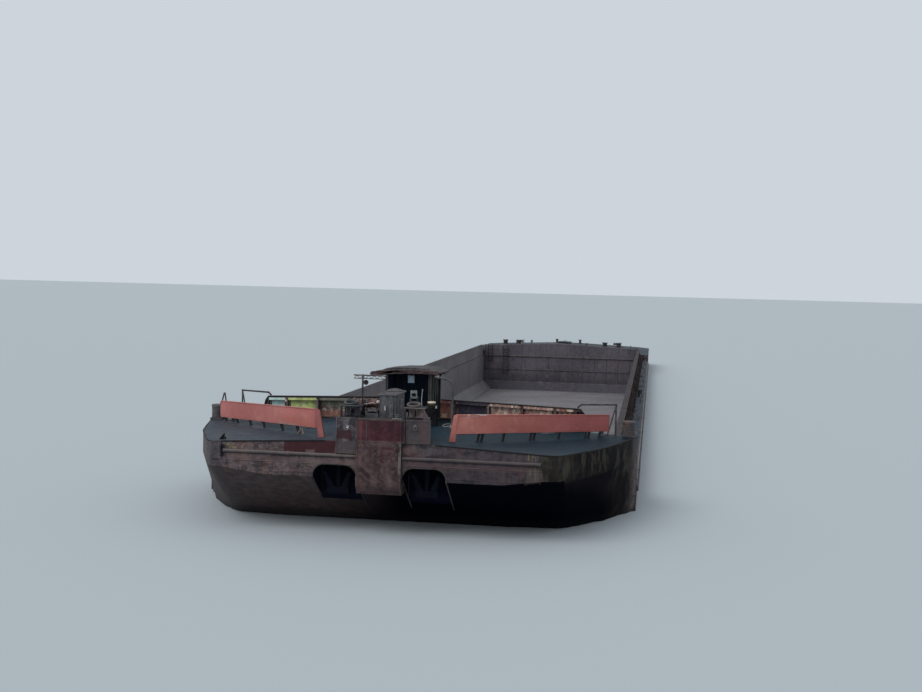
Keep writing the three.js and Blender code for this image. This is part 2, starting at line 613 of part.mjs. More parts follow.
// Bollards: two posts with caps on one bed
function bollardPair(s, y, z, radius, height, pitch) {
  const base = box([s - pitch / 2 - radius - 0.1, s + pitch / 2 + radius + 0.1],
    [y - radius - 0.04, y + radius + 0.04], [z + GAP, z + 0.05]);
  const posts = [-1, 1].flatMap((k) => [
    post(s + (k * pitch) / 2, y, z + 0.02, z + height, radius),
    post(s + (k * pitch) / 2, y, z + height - 0.06, z + height, radius + 0.04),
  ]);
  return join([base, ...posts]);
}
for (const { name, sign } of sides) {
  const deckZ = foreDeckAt(7.0);
  part(`bollard_bow_${name}`, onForedeck(join([
    box([6.0, 6.44], span(sign, 7.08, 7.5), [deckZ - 0.1, deckZ + 0.06]),
    post(6.22, sign * 7.29, deckZ + 0.02, deckZ + 0.5, 0.21),
    post(6.22, sign * 7.29, deckZ + 0.44, deckZ + 0.5, 0.22),
  ])), materials.black);
  const sternZ = aftDeckAt(3.9);
  const posts = [3.8, 5.0].flatMap((y) => [
    post(74.2, sign * y, sternZ, sternZ + 0.72, 0.19),
    post(74.2, sign * y, sternZ + 0.65, sternZ + 0.72, 0.24),
  ]);
  const bed = box([73.9, 74.5], span(sign, 3.45, 5.35), [sternZ - 0.3, sternZ + 0.08]);
  part(`bollard_stern_${name}`, onQuarterdeck(join([bed, ...posts])), materials.black);
  const betweenStays = midSpan[0] + coaming.stayStart + 0.03 + coaming.stayPitch * 13.5;
  const side = bollardPair(betweenStays, sign * 7.33, hull.mainDeck, 0.12, 0.4, 0.7);
  part(`bollard_side_${name}`, side, materials.black);
}

// Rubbing strakes along the middle body
for (const { name, sign } of sides) {
  const { low, high, proud } = strake;
  part(`rubbing_strake_${name}`, crossPrism([
    [sign * (hull.halfBeam + GAP), low], [sign * (hull.halfBeam + proud), low + 0.06],
    [sign * (hull.halfBeam + proud), high - 0.06], [sign * (hull.halfBeam + GAP), high],
  ], ...midSpan), materials.hull);
}

// Half-round fender bars across the bow
for (const { name, sign } of sides) {
  const { z, radius, inner, outer } = fenderBar;
  const whole = bar([0, sign * inner, z], [0, sign * outer, z], radius, 12);
  part(`fender_bar_${name}`, whole.subtract(box([-GAP, 1], [-9, 9], [4, 6])), materials.grey);
}
// Doubling plate round the starboard corner, as [station, y] points
const cornerPad = [
  [-0.06, -4.93], [-0.06, -4.96], [-0.03, -5.22], [0.03, -5.315],
  [0.073, -5.28], [0.026, -5.203], [-GAP, -4.951], [-GAP, -4.93],
];
part('corner_pad_starboard', planPrism(cornerPad, 4.56, foreDeckAt(foredeck.cornerY)), materials.hull);

// Rung ladders on the aft bulkhead: the fixed one, and the short one hung in the corner
const ladders = [
  { name: 'hold_ladder', y: -4.7, width: 0.44, top: 4.4, foot: 1.9, pitch: 0.3, radius: 0.025 },
  { name: 'corner_ladder', y: -6.05, width: 0.36, top: 4.55, foot: 2.95, pitch: 0.32, radius: 0.025 },
];
for (const l of ladders) {
  const s = aftWall.front - 0.16;
  const ys = [l.y - l.width / 2, l.y + l.width / 2];
  const rungs = [];
  for (let z = l.foot + 0.12; z < l.top; z += l.pitch) {
    rungs.push(bar([s, ys[0], z], [s, ys[1], z], l.radius * 0.9, 6));
  }
  const rails = ys.map((y) => bar([s, y, l.foot], [s, y, l.top], l.radius, 6));
  const feet = ys.flatMap((y) => [l.foot + 0.3, aftWall.top - 0.3].map((z) =>
    bar([s, y, z], [aftWall.front - GAP, y, z], l.radius * 0.9, 6)));
  part(l.name, join([...rails, ...rungs, ...feet]), materials.steel);
}

// Hatches on the quarterdeck: a low coaming, and a lid hinged at its forward edge
const hatch = { station: 78, half: 0.55, height: 0.3, wall: 0.06, lid: 0.05 };
const hatchZ = aftDeckAt(0) + hatch.height;
const square = (grow) => [hatch.station - hatch.half - grow, hatch.station + hatch.half + grow];
const beamwise = (grow) => [-hatch.half - grow, hatch.half + grow];
part('hatch_coaming', onQuarterdeck(box(square(0), beamwise(0), [aftDeckAt(0) - 0.1, hatchZ]).subtract(
  box(square(-hatch.wall), beamwise(-hatch.wall), [3, 6]))), materials.deck);
part('hatch_lid', join([
  box(square(0.05), beamwise(0.05), [hatchZ + GAP, hatchZ + hatch.lid]),
  box([hatch.station - 0.12, hatch.station + 0.12], [-0.02, 0.02],
    [hatchZ + hatch.lid - 0.01, hatchZ + 0.12]),
]), materials.deck);

// Stern: push column, with side push plates that its foot rail carries
const sternFace = hull.length + GAP;
part('push_column_stern', join([
  box([sternFace, hull.length + column.proud], [-column.halfWidth, column.halfWidth], [1.9, 4.24]),
  box([sternFace, hull.length + 0.08], [-3.4, 3.4], [2.35, 2.6]),
  ...sides.map(({ sign }) => box(
    [sternFace, hull.length + column.proud], span(sign, 2.6, 3.4), [2.0, 4.08])),
]), materials.column);

export default barge;
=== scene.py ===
# River barge, 1:10 scale model: finishes, small fittings, stage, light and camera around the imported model
import json
import math

import bmesh
import bpy
from mathutils import Matrix, Vector, noise


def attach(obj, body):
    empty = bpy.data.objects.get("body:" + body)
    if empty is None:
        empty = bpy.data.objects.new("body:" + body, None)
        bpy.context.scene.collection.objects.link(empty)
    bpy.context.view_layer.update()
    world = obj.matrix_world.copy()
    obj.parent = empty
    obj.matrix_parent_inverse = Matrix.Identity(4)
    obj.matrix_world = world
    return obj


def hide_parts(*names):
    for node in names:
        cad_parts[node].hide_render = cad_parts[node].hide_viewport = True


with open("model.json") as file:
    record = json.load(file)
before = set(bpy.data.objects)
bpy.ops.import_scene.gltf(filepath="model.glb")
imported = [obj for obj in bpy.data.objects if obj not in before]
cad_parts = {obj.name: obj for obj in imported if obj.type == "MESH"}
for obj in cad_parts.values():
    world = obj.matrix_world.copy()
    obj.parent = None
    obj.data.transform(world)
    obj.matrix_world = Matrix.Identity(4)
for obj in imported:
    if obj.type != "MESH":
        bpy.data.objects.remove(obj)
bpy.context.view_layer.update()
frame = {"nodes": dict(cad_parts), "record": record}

# Sizes below are the real barge's in metres. Places are (station, y, z): metres aft of the bow's face,
# metres to port, and metres over the keel.
SCALE = 0.1
HALF_LENGTH = 42


def at(station, y, z):
    """A real place as a point of the model."""
    return Vector(((HALF_LENGTH - station) * SCALE, y * SCALE, z * SCALE))


# Camera, as fitted to the barge's own edges in the photograph
EYE = (-36.4742, 8.0217, 10.2731)
YAW = 0.1528
PITCH = 0.055
ROLL = 0.0245
FOCAL_PIXELS = 1250
PHOTO_WIDTH = 922
SENSOR = 36


def make_camera():
    ahead = Vector((-math.cos(PITCH) * math.cos(YAW), -math.cos(PITCH) * math.sin(YAW), -math.sin(PITCH)))
    right = Vector((-math.sin(YAW), math.cos(YAW), 0))
    upward = right.cross(ahead)
    rolled_right = math.cos(ROLL) * right + math.sin(ROLL) * upward
    rolled_up = -math.sin(ROLL) * right + math.cos(ROLL) * upward
    data = bpy.data.cameras.new("camera")
    data.sensor_fit = "HORIZONTAL"
    data.sensor_width = SENSOR
    data.lens = FOCAL_PIXELS / PHOTO_WIDTH * SENSOR
    data.clip_end = 200
    camera = bpy.data.objects.new("camera", data)
    turn = Matrix((rolled_right, rolled_up, -ahead)).transposed().to_4x4()
    camera.matrix_world = Matrix.Translation(at(*EYE)) @ turn
    bpy.context.scene.collection.objects.link(camera)
    bpy.context.scene.camera = camera


# Stage: a pale floor at the waterline with an opening inside the hull, and soft light
WATERLINE = 2.4
HOLE = {"stations": (73.5, 6.2), "half_width": 7.1}
REACH = 60
LIGHT_TRAVEL = Vector((-0.55, 0.5, -0.8))


def make_stage():
    aft, fore = [(HALF_LENGTH - station) * SCALE for station in HOLE["stations"]]
    side = HOLE["half_width"] * SCALE
    height = WATERLINE * SCALE
    outer_places = ((-REACH, -REACH), (REACH, -REACH), (REACH, REACH), (-REACH, REACH))
    inner_places = ((aft, -side), (fore, -side), (fore, side), (aft, side))
    mesh = bmesh.new()
    outer = [mesh.verts.new((x, y, height)) for x, y in outer_places]
    inner = [mesh.verts.new((x, y, height)) for x, y in inner_places]
    for i in range(4):
        j = (i + 1) % 4
        mesh.faces.new((outer[i], outer[j], inner[j], inner[i]))
    data = bpy.data.meshes.new("floor")
    mesh.to_mesh(data)
    mesh.free()
    floor = bpy.data.objects.new("floor", data)
    bpy.context.scene.collection.objects.link(floor)
    look = bpy.data.materials.new("floor")
    look.use_nodes = True
    shader = look.node_tree.nodes["Principled BSDF"]
    shader.inputs["Base Color"].default_value = (0.46, 0.5, 0.52, 1)
    shader.inputs["Roughness"].default_value = 0.85
    data.materials.append(look)

    world = bpy.data.worlds.new("sky")
    bpy.context.scene.world = world
    world.use_nodes = True
    sky = world.node_tree.nodes["Background"]
    sky.inputs["Color"].default_value = (0.72, 0.78, 0.84, 1)
    sky.inputs["Strength"].default_value = 0.85
    sun = bpy.data.lights.new("sun", "SUN")
    sun.energy = 1.1
    sun.angle = math.radians(40)
    lamp = bpy.data.objects.new("sun", sun)
    lamp.rotation_euler = LIGHT_TRAVEL.to_track_quat("-Z", "Y").to_euler()
    bpy.context.scene.collection.objects.link(lamp)
    bpy.context.scene.view_settings.view_transform = "Standard"


def tone(red, green, blue):
    """Screen values from 0 to 255 as a linear colour."""
    def linear(value):
        value /= 255
        return value / 12.92 if value <= 0.04045 else ((value + 0.055) / 1.055) ** 2.4
    return (linear(red), linear(green), linear(blue), 1)


RUST_DARK = (74, 44, 36)
RUST_LIGHT = (128, 74, 48)
# Soot tone of the painted shade in corners and creases
CORNER_SHADE_TONE = (26, 27, 30)
BARE = (150, 142, 134)


class Coat:
    """Colour, roughness and relief of a finish, built up mask by mask."""

    def __init__(self, look, colour, rough, relief):
        self.look, self.colour, self.rough, self.relief = look, colour, rough, relief

    def tint(self, mask, shade, strength=1):
        if strength != 1:
            mask = self.look.both(mask, strength)
        self.colour = self.look.mix(mask, self.colour, tone(*shade))

    def shade(self, mask, factors):
        """Darkens or brightens by a factor for red, green and blue where the mask is 1."""
        self.colour = self.look.mix(mask, self.colour, (*factors, 1), "MULTIPLY")

    def over(self, mask, above):
        """Covers this coat with another where the mask is 1."""
        self.colour = self.look.mix(mask, self.colour, above.colour)
        self.rough = self.look.blend(mask, self.rough, above.rough)
        self.relief = self.look.blend(mask, self.relief, above.relief)


class Look:
    """One procedural material. Its textures are laid out in real metres."""

    def __init__(self, name, metallic=0, specular=0.3):
        self.material = bpy.data.materials.new(name)
        self.material.use_nodes = True
        self.nodes = self.material.node_tree.nodes
        self.links = self.material.node_tree.links
        self.shader = self.nodes["Principled BSDF"]
        self.shader.inputs["Metallic"].default_value = metallic
        self.shader.inputs["Specular IOR Level"].default_value = specular
        place = self.add("ShaderNodeTexCoord").outputs["Object"]
        self.place = self.vector("MULTIPLY", place, (1 / SCALE,) * 3)
        parts = self.add("ShaderNodeSeparateXYZ", {0: self.place}).outputs
        self.station = self.math("SUBTRACT", HALF_LENGTH, parts[0])
        self.y, self.z = parts[1], parts[2]
        normal = self.add("ShaderNodeNewGeometry").outputs["Normal"]
        self.normal = normal
        self.facing = self.add("ShaderNodeSeparateXYZ", {0: normal}).outputs
        self.steep = self.ramp(self.math("ABSOLUTE", self.facing[2]), 0.75, 0.35)
        self.cloud = self.noise(0.3, 3, 0.5)
        self.patch = self.noise(1.5, 6, 0.62)
        self.grit = self.noise(13, 4, 0.6)
        self.drips = self.noise(1, 4, 0.6, stretch=(5, 5, 0.3))
        self.mottle = self.noise(3.6, 5, 0.68)
        self.grain = self.noise(8, 4, 0.7, stretch=(1, 0.7, 1.2))

    def add(self, kind, inputs=None, **settings):
        node = self.nodes.new(kind)
        for key, value in settings.items():
            setattr(node, key, value)
        for key, value in (inputs or {}).items():
            if isinstance(value, bpy.types.NodeSocket):
                self.links.new(value, node.inputs[key])
            else:
                node.inputs[key].default_value = value
        return node

    def math(self, operation, *values):
        return self.add("ShaderNodeMath", dict(enumerate(values)), operation=operation).outputs[0]

    def both(self, first, second):
        return self.math("MULTIPLY", first, second)

    def either(self, first, second):
        return self.math("MAXIMUM", first, second)

    def vector(self, operation, *values):
        return self.add("ShaderNodeVectorMath", dict(enumerate(values)), operation=operation).outputs[0]

    def mix(self, factor, first, second, blend="MIX"):
        node = self.add("ShaderNodeMix", {0: factor, 6: first, 7: second}, data_type="RGBA",
            blend_type=blend)
        return node.outputs[2]

    def blend(self, factor, first, second):
        return self.add("ShaderNodeMix", {0: factor, 2: first, 3: second}, data_type="FLOAT").outputs[0]

    def ramp(self, value, low, high):
        inputs = {0: value, 1: low, 2: high}
        return self.add("ShaderNodeMapRange", inputs, interpolation_type="SMOOTHSTEP").outputs[0]

    def noise(self, scale, detail=3, roughness=0.55, stretch=(1, 1, 1), twist=0):
        place = self.place if stretch == (1, 1, 1) else self.vector("MULTIPLY", self.place, stretch)
        inputs = {"Vector": place, "Scale": scale, "Detail": detail, "Roughness": roughness,
            "Distortion": twist}
        return self.add("ShaderNodeTexNoise", inputs).outputs[0]

    def zone(self, stations, ys, zs, soft=0.06, ragged=0.3):
        """1 inside a box of the barge, with an edge that wanders as worn paint does."""
        spans = [(HALF_LENGTH - stations[1], HALF_LENGTH - stations[0]), ys, zs]
        centre = [(low + high) / 2 for low, high in spans]
        half = [(high - low) / 2 for low, high in spans]
        away = self.vector("ABSOLUTE", self.vector("SUBTRACT", self.place, centre))
        out = self.add("ShaderNodeSeparateXYZ", {0: self.vector("SUBTRACT", away, half)}).outputs
        far = self.either(self.either(out[0], out[1]), out[2])
        wander = self.math("MULTIPLY_ADD", self.patch, ragged, far)
        return self.ramp(wander, ragged / 2, ragged / 2 - soft)

    def stroke(self, first, last, width):
        """1 along a broken brush stroke between two places (y, z)."""
        length = math.dist(first, last)
        across, up = (last[0] - first[0]) / length, (last[1] - first[1]) / length
        y = self.math("SUBTRACT", self.y, (first[0] + last[0]) / 2)
        z = self.math("SUBTRACT", self.z, (first[1] + last[1]) / 2)
        along = self.math("MULTIPLY_ADD", y, across, self.both(z, up))
        aside = self.math("MULTIPLY_ADD", y, up, self.both(z, -across))
        body = self.ramp(self.math("ABSOLUTE", aside), width / 2, width / 4)
        ends = self.ramp(self.math("ABSOLUTE", along), length / 2, length / 2 - width)
        return self.both(self.both(body, ends), self.ramp(self.mottle, 0.36, 0.5))

    def seams(self, value, spacing, width, offset=0):
        """1 on lines that repeat along a coordinate."""
        cycle = self.math("FRACT", self.math("DIVIDE", self.math("ADD", value, offset), spacing))
        away = self.math("ABSOLUTE", self.math("SUBTRACT", cycle, 0.5))
        return self.ramp(away, 0.5 - width / spacing, 0.5 - 0.4 * width / spacing)

    def layer(self, tones, rust=0.3, streak=0.5, rough=(0.62, 0.85), rusts=(RUST_DARK, RUST_LIGHT),
            mottle=0.45):
        """Paint over steel: three tones in clouds, rust where it has gone, and streaks on steep faces."""
        tones, rusts = [[tone(*shade) for shade in group] for group in (tones, rusts)]
        colour = self.mix(self.ramp(self.cloud, 0.38, 0.62), tones[0], tones[1])
        colour = self.mix(self.ramp(self.patch, 0.5, 0.68), colour, tones[2])
        run = self.both(self.ramp(self.drips, 0.5, 0.66), self.steep)
        colour = self.mix(self.both(run, streak), colour, tones[3])
        dim = self.both(self.ramp(self.mottle, 0.54, 0.38), mottle)
        colour = self.mix(dim, colour, (0.3, 0.28, 0.29, 1), "MULTIPLY")
        fine = self.both(self.ramp(self.grain, 0.48, 0.36), mottle * 0.7)
        colour = self.mix(fine, colour, (0.42, 0.38, 0.38, 1), "MULTIPLY")
        fine = self.both(self.ramp(self.grain, 0.54, 0.66), mottle * 0.5)
        colour = self.mix(fine, colour, tones[3])
        lit = self.both(self.ramp(self.mottle, 0.56, 0.7), mottle * 0.5)
        colour = self.mix(lit, colour, tones[3])
        field = self.math("MULTIPLY_ADD", self.grit, 0.35, self.both(self.patch, 0.65))
        start = 0.68 - 0.2 * rust
        flaked = self.ramp(field, start, start + 0.035)
        steel = self.mix(self.ramp(self.grit, 0.42, 0.6), rusts[0], rusts[1])
        colour = self.mix(flaked, colour, steel)
        shine = self.blend(flaked, self.blend(self.grit, rough[0], rough[1]), 0.95)
        height = self.math("MULTIPLY_ADD", self.grit, 0.25, self.both(flaked, -0.5))
        return Coat(self, colour, shine, height)

    def finish(self, coat, wear=0.5, wear_tone=BARE, corner_shade=0.7, reach=0.5, edge=0.05, depth=0.012):
        """Worn edges, painted shade in a soot tone in corners and creases, and relief."""
        colour = coat.colour
        if wear:
            rounded = self.add("ShaderNodeBevel", {"Radius": edge * SCALE}, samples=4).outputs[0]
            along = self.add("ShaderNodeVectorMath", {0: rounded, 1: self.normal},
                operation="DOT_PRODUCT")
            worn = self.ramp(along.outputs["Value"], 0.992, 0.9)
            worn = self.both(worn, self.both(self.ramp(self.patch, 0.36, 0.6), wear))
            colour = self.mix(worn, colour, tone(*wear_tone))
        if corner_shade:
            # Painted shade: corners and creases found by ambient occlusion are darkened to a soot tone
            open_sky = self.add("ShaderNodeAmbientOcclusion", {"Distance": reach * SCALE}, samples=4)
            shut = self.ramp(open_sky.outputs["AO"], 0.75, 0.1)
            shut = self.both(shut, corner_shade)
            colour = self.mix(shut, colour, tone(*CORNER_SHADE_TONE))
        relief = self.add("ShaderNodeBump", {"Strength": 0.8, "Distance": depth * SCALE,
            "Height": coat.relief})
        self.links.new(colour, self.shader.inputs["Base Color"])
        self.links.new(coat.rough, self.shader.inputs["Roughness"])
        self.links.new(relief.outputs[0], self.shader.inputs["Normal"])
        return self.material


# Finishes: tones are base, second, patches, streaks
def shades(red, green, blue):
    """Four tones around one: base, darker, warmer and paler."""
    ratios = ((1, 1, 1), (0.86, 0.85, 0.86), (1.08, 0.96, 0.9), (1.14, 1.12, 1.08))
    return [(red * r, green * g, blue * b) for r, g, b in ratios]


HULL = [(98, 84, 86), (82, 68, 70), (114, 82, 76), (126, 110, 106)]
DECK = [(60, 68, 78), (50, 58, 68), (72, 74, 78), (42, 48, 56)]
HOLD = [(124, 121, 124), (112, 108, 111), (128, 118, 116), (98, 94, 96)]


def hull_look():
    """Hull plating, with the deck's paint on top faces and bare, scoured steel inside the hold."""
    look = Look("hull_paint")
    hull = look.layer(HULL, rust=0.35, streak=0.4, rusts=((66, 48, 48), (106, 80, 70)), mottle=0.85)
    plates = look.either(look.seams(look.station, 6, 0.03, 1.3), look.seams(look.z, 1.55, 0.03, 0.4))
    hull.relief = look.math("ADD", hull.relief, look.both(plates, 0.8))
    bow = look.ramp(look.station, 0.3, 0.1)
    smears = look.noise(1.7, 6, 0.66, stretch=(1, 0.45, 2))
    hull.tint(look.both(bow, look.ramp(smears, 0.53, 0.64)), (114, 94, 92), 0.45)
    hull.tint(look.both(bow, look.ramp(smears, 0.48, 0.38)), (40, 32, 36), 0.7)
    lines = look.noise(2.2, 4, 0.6, stretch=(1, 6, 0.35))
    hull.tint(look.both(bow, look.ramp(lines, 0.56, 0.66)), (38, 32, 36), 0.5)
    wet = look.ramp(look.math("MULTIPLY_ADD", look.patch, 0.5, look.z), WATERLINE + 0.55, WATERLINE + 0.1)
    hull.tint(wet, (44, 44, 40), 0.8)
    fore = look.ramp(look.station, 6.5, 5.5)
    # Painted shade: the bow's port half is tinted darker and bluer, and its face under the fender bar darker
    # still
    hull.tint(look.both(look.ramp(look.y, -0.5, 2), fore), (34, 36, 46), 0.55)
    port_face_shade = look.both(look.ramp(look.y, 0.6, 1), look.ramp(look.z, 4.75, 4.6))
    hull.shade(look.both(port_face_shade, fore), (0.78, 0.74, 0.74))
    chamfer = look.both(look.ramp(look.y, 4.8, 4.92), fore)
    # The port chamfer's olive-brown is partly its paint and partly painted shade; further aft it is darkened
    # more as painted shade
    hull.tint(chamfer, (44, 43, 36), 0.68)
    hull.shade(look.both(chamfer, look.ramp(look.station, 0.6, 1.6)), (0.45, 0.46, 0.56))
    stains = look.noise(2.6, 5, 0.7, stretch=(1, 1, 0.4))
    hull.tint(look.both(chamfer, look.ramp(stains, 0.52, 0.4)), (82, 78, 68), 0.5)
    hull.tint(look.both(chamfer, look.ramp(stains, 0.52, 0.66)), (18, 16, 20), 0.6)
    # Painted shadow: near black on the port side below the knuckle, over the first stations
    port_low_shadow = look.both(look.ramp(look.y, 4.95, 5.1), look.ramp(look.z, 4.26, 4.16))
    port_low_shadow = look.both(port_low_shadow, look.ramp(look.station, 5.5, 3))
    hull.tint(port_low_shadow, (2, 6, 16), 0.97)
    starboard_corner = look.both(look.ramp(look.y, -4.85, -4.98), fore)
    hull.tint(starboard_corner, (66, 66, 70), 0.5)
    # Down-facing faces of the bow turn a darker brown, partly underside paint and partly painted shade;
    # towards port they go near black as painted shade
    below = look.both(look.ramp(look.facing[2], -0.12, -0.4), look.ramp(look.station, 6.6, 6.2))
    hull.tint(below, (58, 46, 46), 0.6)
    sunless = look.both(below, look.ramp(look.y, -2.5, 0.5))
    hull.tint(sunless, (0, 2, 10), 0.99)
    # Painted shade: the insides of the anchor niches are tinted a dark navy
    niche_shade = look.zone((0.02, 1.3), (-2.1, -0.66), (2.9, 4.56), ragged=0, soft=0.02)
    niche_shade = look.either(niche_shade, look.zone((0.02, 1.3), (0.66, 2.1), (2.9, 4.56), ragged=0, soft=0.02))
    hull.tint(niche_shade, (10, 16, 32), 0.96)
    marks = (
        # stations, ys, zs, ragged, colour, strength
        ((-0.2, 0.2), (-2.99, -1.33), (4.84, 5.3), 0.12, (58, 19, 28), 0.94),
        ((-0.2, 0.2), (-2.68, -2.64), (4.84, 5.3), 0.02, (120, 82, 78), 0.7),
        ((-0.2, 0.2), (-2.3, -1.98), (4.84, 4.97), 0.15, (118, 100, 98), 0.6),
        # Painted shadow: the next row is a near-black strip beside the starboard corner pad
        ((-0.2, 0.3), (-5, -4.8), (4.6, 5.02), 0.02, (24, 20, 24), 0.9),
        ((-0.2, 0.2), (0.7, 4.86), (4.52, 4.74), 0.12, (92, 70, 70), 0.5),
        ((-0.2, 0.2), (-4.8, -0.7), (4.5, 4.73), 0.12, (104, 84, 84), 0.45),
        ((-0.2, 0.2), (4.4, 4.9), (4.2, 4.7), 0.6, (96, 84, 76), 0.4),
        ((-0.2, 0.2), (-1.3, -0.8), (4, 4.62), 0.4, (112, 84, 76), 0.4),
    )
    for stations, ys, zs, ragged, colour, strength in marks:
        hull.tint(look.zone(stations, ys, zs, ragged=ragged), colour, strength)
    strokes = (
        # first (y, z), last (y, z), width, colour, strength
        ((-4.8, 4.93), (-4.64, 5.1), 0.1, (124, 120, 80), 0.55),
        ((-4.72, 4.86), (-4.5, 5.06), 0.14, (122, 118, 80), 0.65),
        ((-4.6, 4.86), (-4.42, 4.96), 0.08, (136, 126, 84), 0.55),
        ((-4.76, 5), (-4.5, 4.9), 0.05, (140, 132, 90), 0.5),
        ((4.5, 5.2), (4.5, 4.9), 0.06, (118, 114, 78), 0.65),
        ((4.62, 5.16), (4.62, 4.86), 0.05, (128, 118, 84), 0.55),
        ((4.7, 5.12), (4.71, 4.3), 0.05, (104, 92, 74), 0.5),
        ((4.55, 4.72), (4.56, 4.3), 0.07, (110, 98, 78), 0.5),
        ((4.82, 5.1), (4.83, 4.2), 0.05, (60, 48, 46), 0.6),
        ((-4.31, 4.9), (-4.19, 5.08), 0.035, (150, 142, 132), 0.55),
        ((-3.81, 5.06), (-3.66, 4.9), 0.035, (146, 136, 126), 0.5),
        ((-3.78, 4.92), (-3.7, 5.06), 0.03, (150, 138, 128), 0.5),
    )
    for first, last, width, colour, strength in strokes:
        mark = look.both(look.stroke(first, last, width), bow)
        hull.tint(mark, colour, strength)

    deck = look.layer(DECK, rust=0.12, streak=0, rough=(0.45, 0.75), mottle=0.4)
    fore_part = look.ramp(look.station, 7, 5.5)
    port_deck = look.both(look.ramp(look.y, -1.5, 1.5), fore_part)
    deck.tint(port_deck, (14, 34, 42), 0.78)
    # Painted light and shade on the foredeck: the lines below darken it away from the starboard edge and
    # more at the port edge, and lighten it along the starboard edge and towards the bow; the bluer, greener
    # port hue is its paint
    deck.shade(look.both(look.ramp(look.y, -5, -2.2), fore_part), (0.72, 0.84, 0.9))
    deck.shade(look.both(look.ramp(look.y, 5.6, 6.6), fore_part), (0.62, 0.6, 0.64))
    deck.shade(port_deck, (1.08, 1.3, 1.32))
    deck.shade(look.both(look.ramp(look.y, -4.4, -5.2), fore_part), (1.26, 1.16, 1.1))
    deck.tint(look.ramp(look.station, 1.6, 0.2), (92, 92, 98), 0.12)
    top = look.ramp(look.facing[2], 0.6, 0.8)
    top = look.both(top, look.ramp(look.z, 3, 3.2))
    hold = look.layer(HOLD, rust=0.2, streak=0.5, mottle=0.25)
    inside = look.both(look.ramp(look.math("ABSOLUTE", look.y), 6.66, 6.63),
        look.both(look.ramp(look.station, 6.46, 6.49), look.ramp(look.station, 72.3, 72.1)))
    inside = look.both(inside, look.ramp(look.z, 0.4, 0.5))
    hull.over(top, deck)
    hull.over(inside, hold)
    side = look.both(chamfer, look.math("SUBTRACT", 1, top))
    dull = look.either(look.either(sunless, niche_shade), side)
    shine = look.blend(look.either(dull, look.both(top, 0.75)), 0.3, 0.02)
    look.links.new(shine, look.shader.inputs["Specular IOR Level"])
    return look.finish(hull, wear=0.35, wear_tone=(128, 120, 116))


def plain_look(name, tones, rust, mottle, corner_shade, wear, metallic=0, specular=0.3, **kind):
    """A weathered finish with nothing particular to one place."""
    look = Look(name, metallic, specular)
    if not isinstance(tones, list):
        tones = shades(*tones)
    return look.finish(look.layer(tones, rust, mottle=mottle, **kind), wear, corner_shade=corner_shade)


def column_look():
    look = Look("column_paint")
    state = look.layer([(86, 66, 66), (74, 54, 55), (96, 68, 64), (106, 90, 86)], rust=0.35, streak=0.25,
        rusts=((62, 44, 44), (104, 78, 70)), mottle=0.95)
    scrapes = look.noise(2.2, 6, 0.66, stretch=(1, 1.3, 0.9), twist=1.2)
    state.tint(look.ramp(scrapes, 0.52, 0.6), (52, 30, 35), 0.7)
    state.tint(look.ramp(scrapes, 0.44, 0.36), (120, 92, 88), 0.4)
    bow = look.ramp(look.station, 3, 2)
    strokes = (
        # first (y, z), last (y, z), width, colour, strength
        ((0.02, 5.12), (0.5, 5.08), 0.1, (70, 26, 34), 0.75),
        ((0.08, 5.1), (0.12, 4.7), 0.1, (72, 28, 34), 0.7),
        ((0.18, 5.02), (0.42, 4.88), 0.24, (86, 36, 40), 0.6),
        ((0.3, 4.9), (0.5, 4.6), 0.14, (58, 30, 36), 0.5),
        ((-0.5, 5.2), (-0.1, 4.9), 0.1, (52, 34, 38), 0.45),
        ((-0.64, 4.56), (-0.18, 4.12), 0.16, (36, 24, 30), 0.7),
        ((-0.62, 4.3), (-0.3, 4.02), 0.1, (38, 26, 32), 0.6),
        ((0.645, 5.3), (0.645, 4.3), 0.11, (118, 108, 102), 0.85),
    )
    for first, last, width, colour, strength in strokes:
        state.tint(look.both(look.stroke(first, last, width), bow), colour, strength)
    # Painted shade: the column's foot below the knuckle is darkened
    foot = look.zone((-1, 2), (-1, 1), (3.4, 4.1), ragged=0.6, soft=0.2)
    state.tint(foot, (48, 36, 38), 0.5)
    panel = look.zone((-1, 0.5), (-0.65, 0.9), (5.3, 5.93), ragged=0.03, soft=0.02)
    maroon = look.layer([(72, 32, 40), (58, 26, 36), (84, 42, 48), (98, 58, 62)], rust=0, streak=0.9)
    state.over(panel, maroon)
    # Painted shade: the head's port side face is darkened to a deep maroon
    side = look.zone((-1, 0.5), (0.69, 0.9), (5.2, 6), ragged=0, soft=0.01)
    state.tint(side, (40, 18, 26), 0.7)
    return look.finish(state, wear=0.45, wear_tone=(112, 100, 96))


def flank_look():
    """Plates beside the column: worn grey over maroon and rust."""
    look = Look("flank_paint")
    state = look.layer([(84, 77, 84), (62, 55, 62), (96, 74, 76), (118, 114, 112)], rust=0.4,
        rusts=((56, 38, 40), (100, 72, 66)), mottle=0.9)
    low = look.zone((-1, 0.5), (-2, 2), (4.8, 5.3), ragged=0.3)
    state.tint(low, (74, 62, 62), 0.75)
    maroon = look.zone((-1, 0.5), (-1.32, -0.8), (5.3, 5.62), ragged=0.3)
    state.tint(maroon, (58, 24, 32), 0.88)
    pinkish = look.zone((-1, 0.5), (1.15, 1.6), (4.9, 6), ragged=0.6, soft=0.15)
    state.tint(pinkish, (104, 72, 70), 0.6)
    # Painted shade: the port plate is darkened and made bluer
    state.tint(look.ramp(look.y, 0, 0.8), (40, 40, 48), 0.35)
    port = look.both(look.ramp(look.y, 0, 0.8), look.ramp(look.station, 3, 2))
    state.tint(port, (78, 68, 66), 0.45)
    return look.finish(state, wear=0.3, wear_tone=(112, 114, 112))


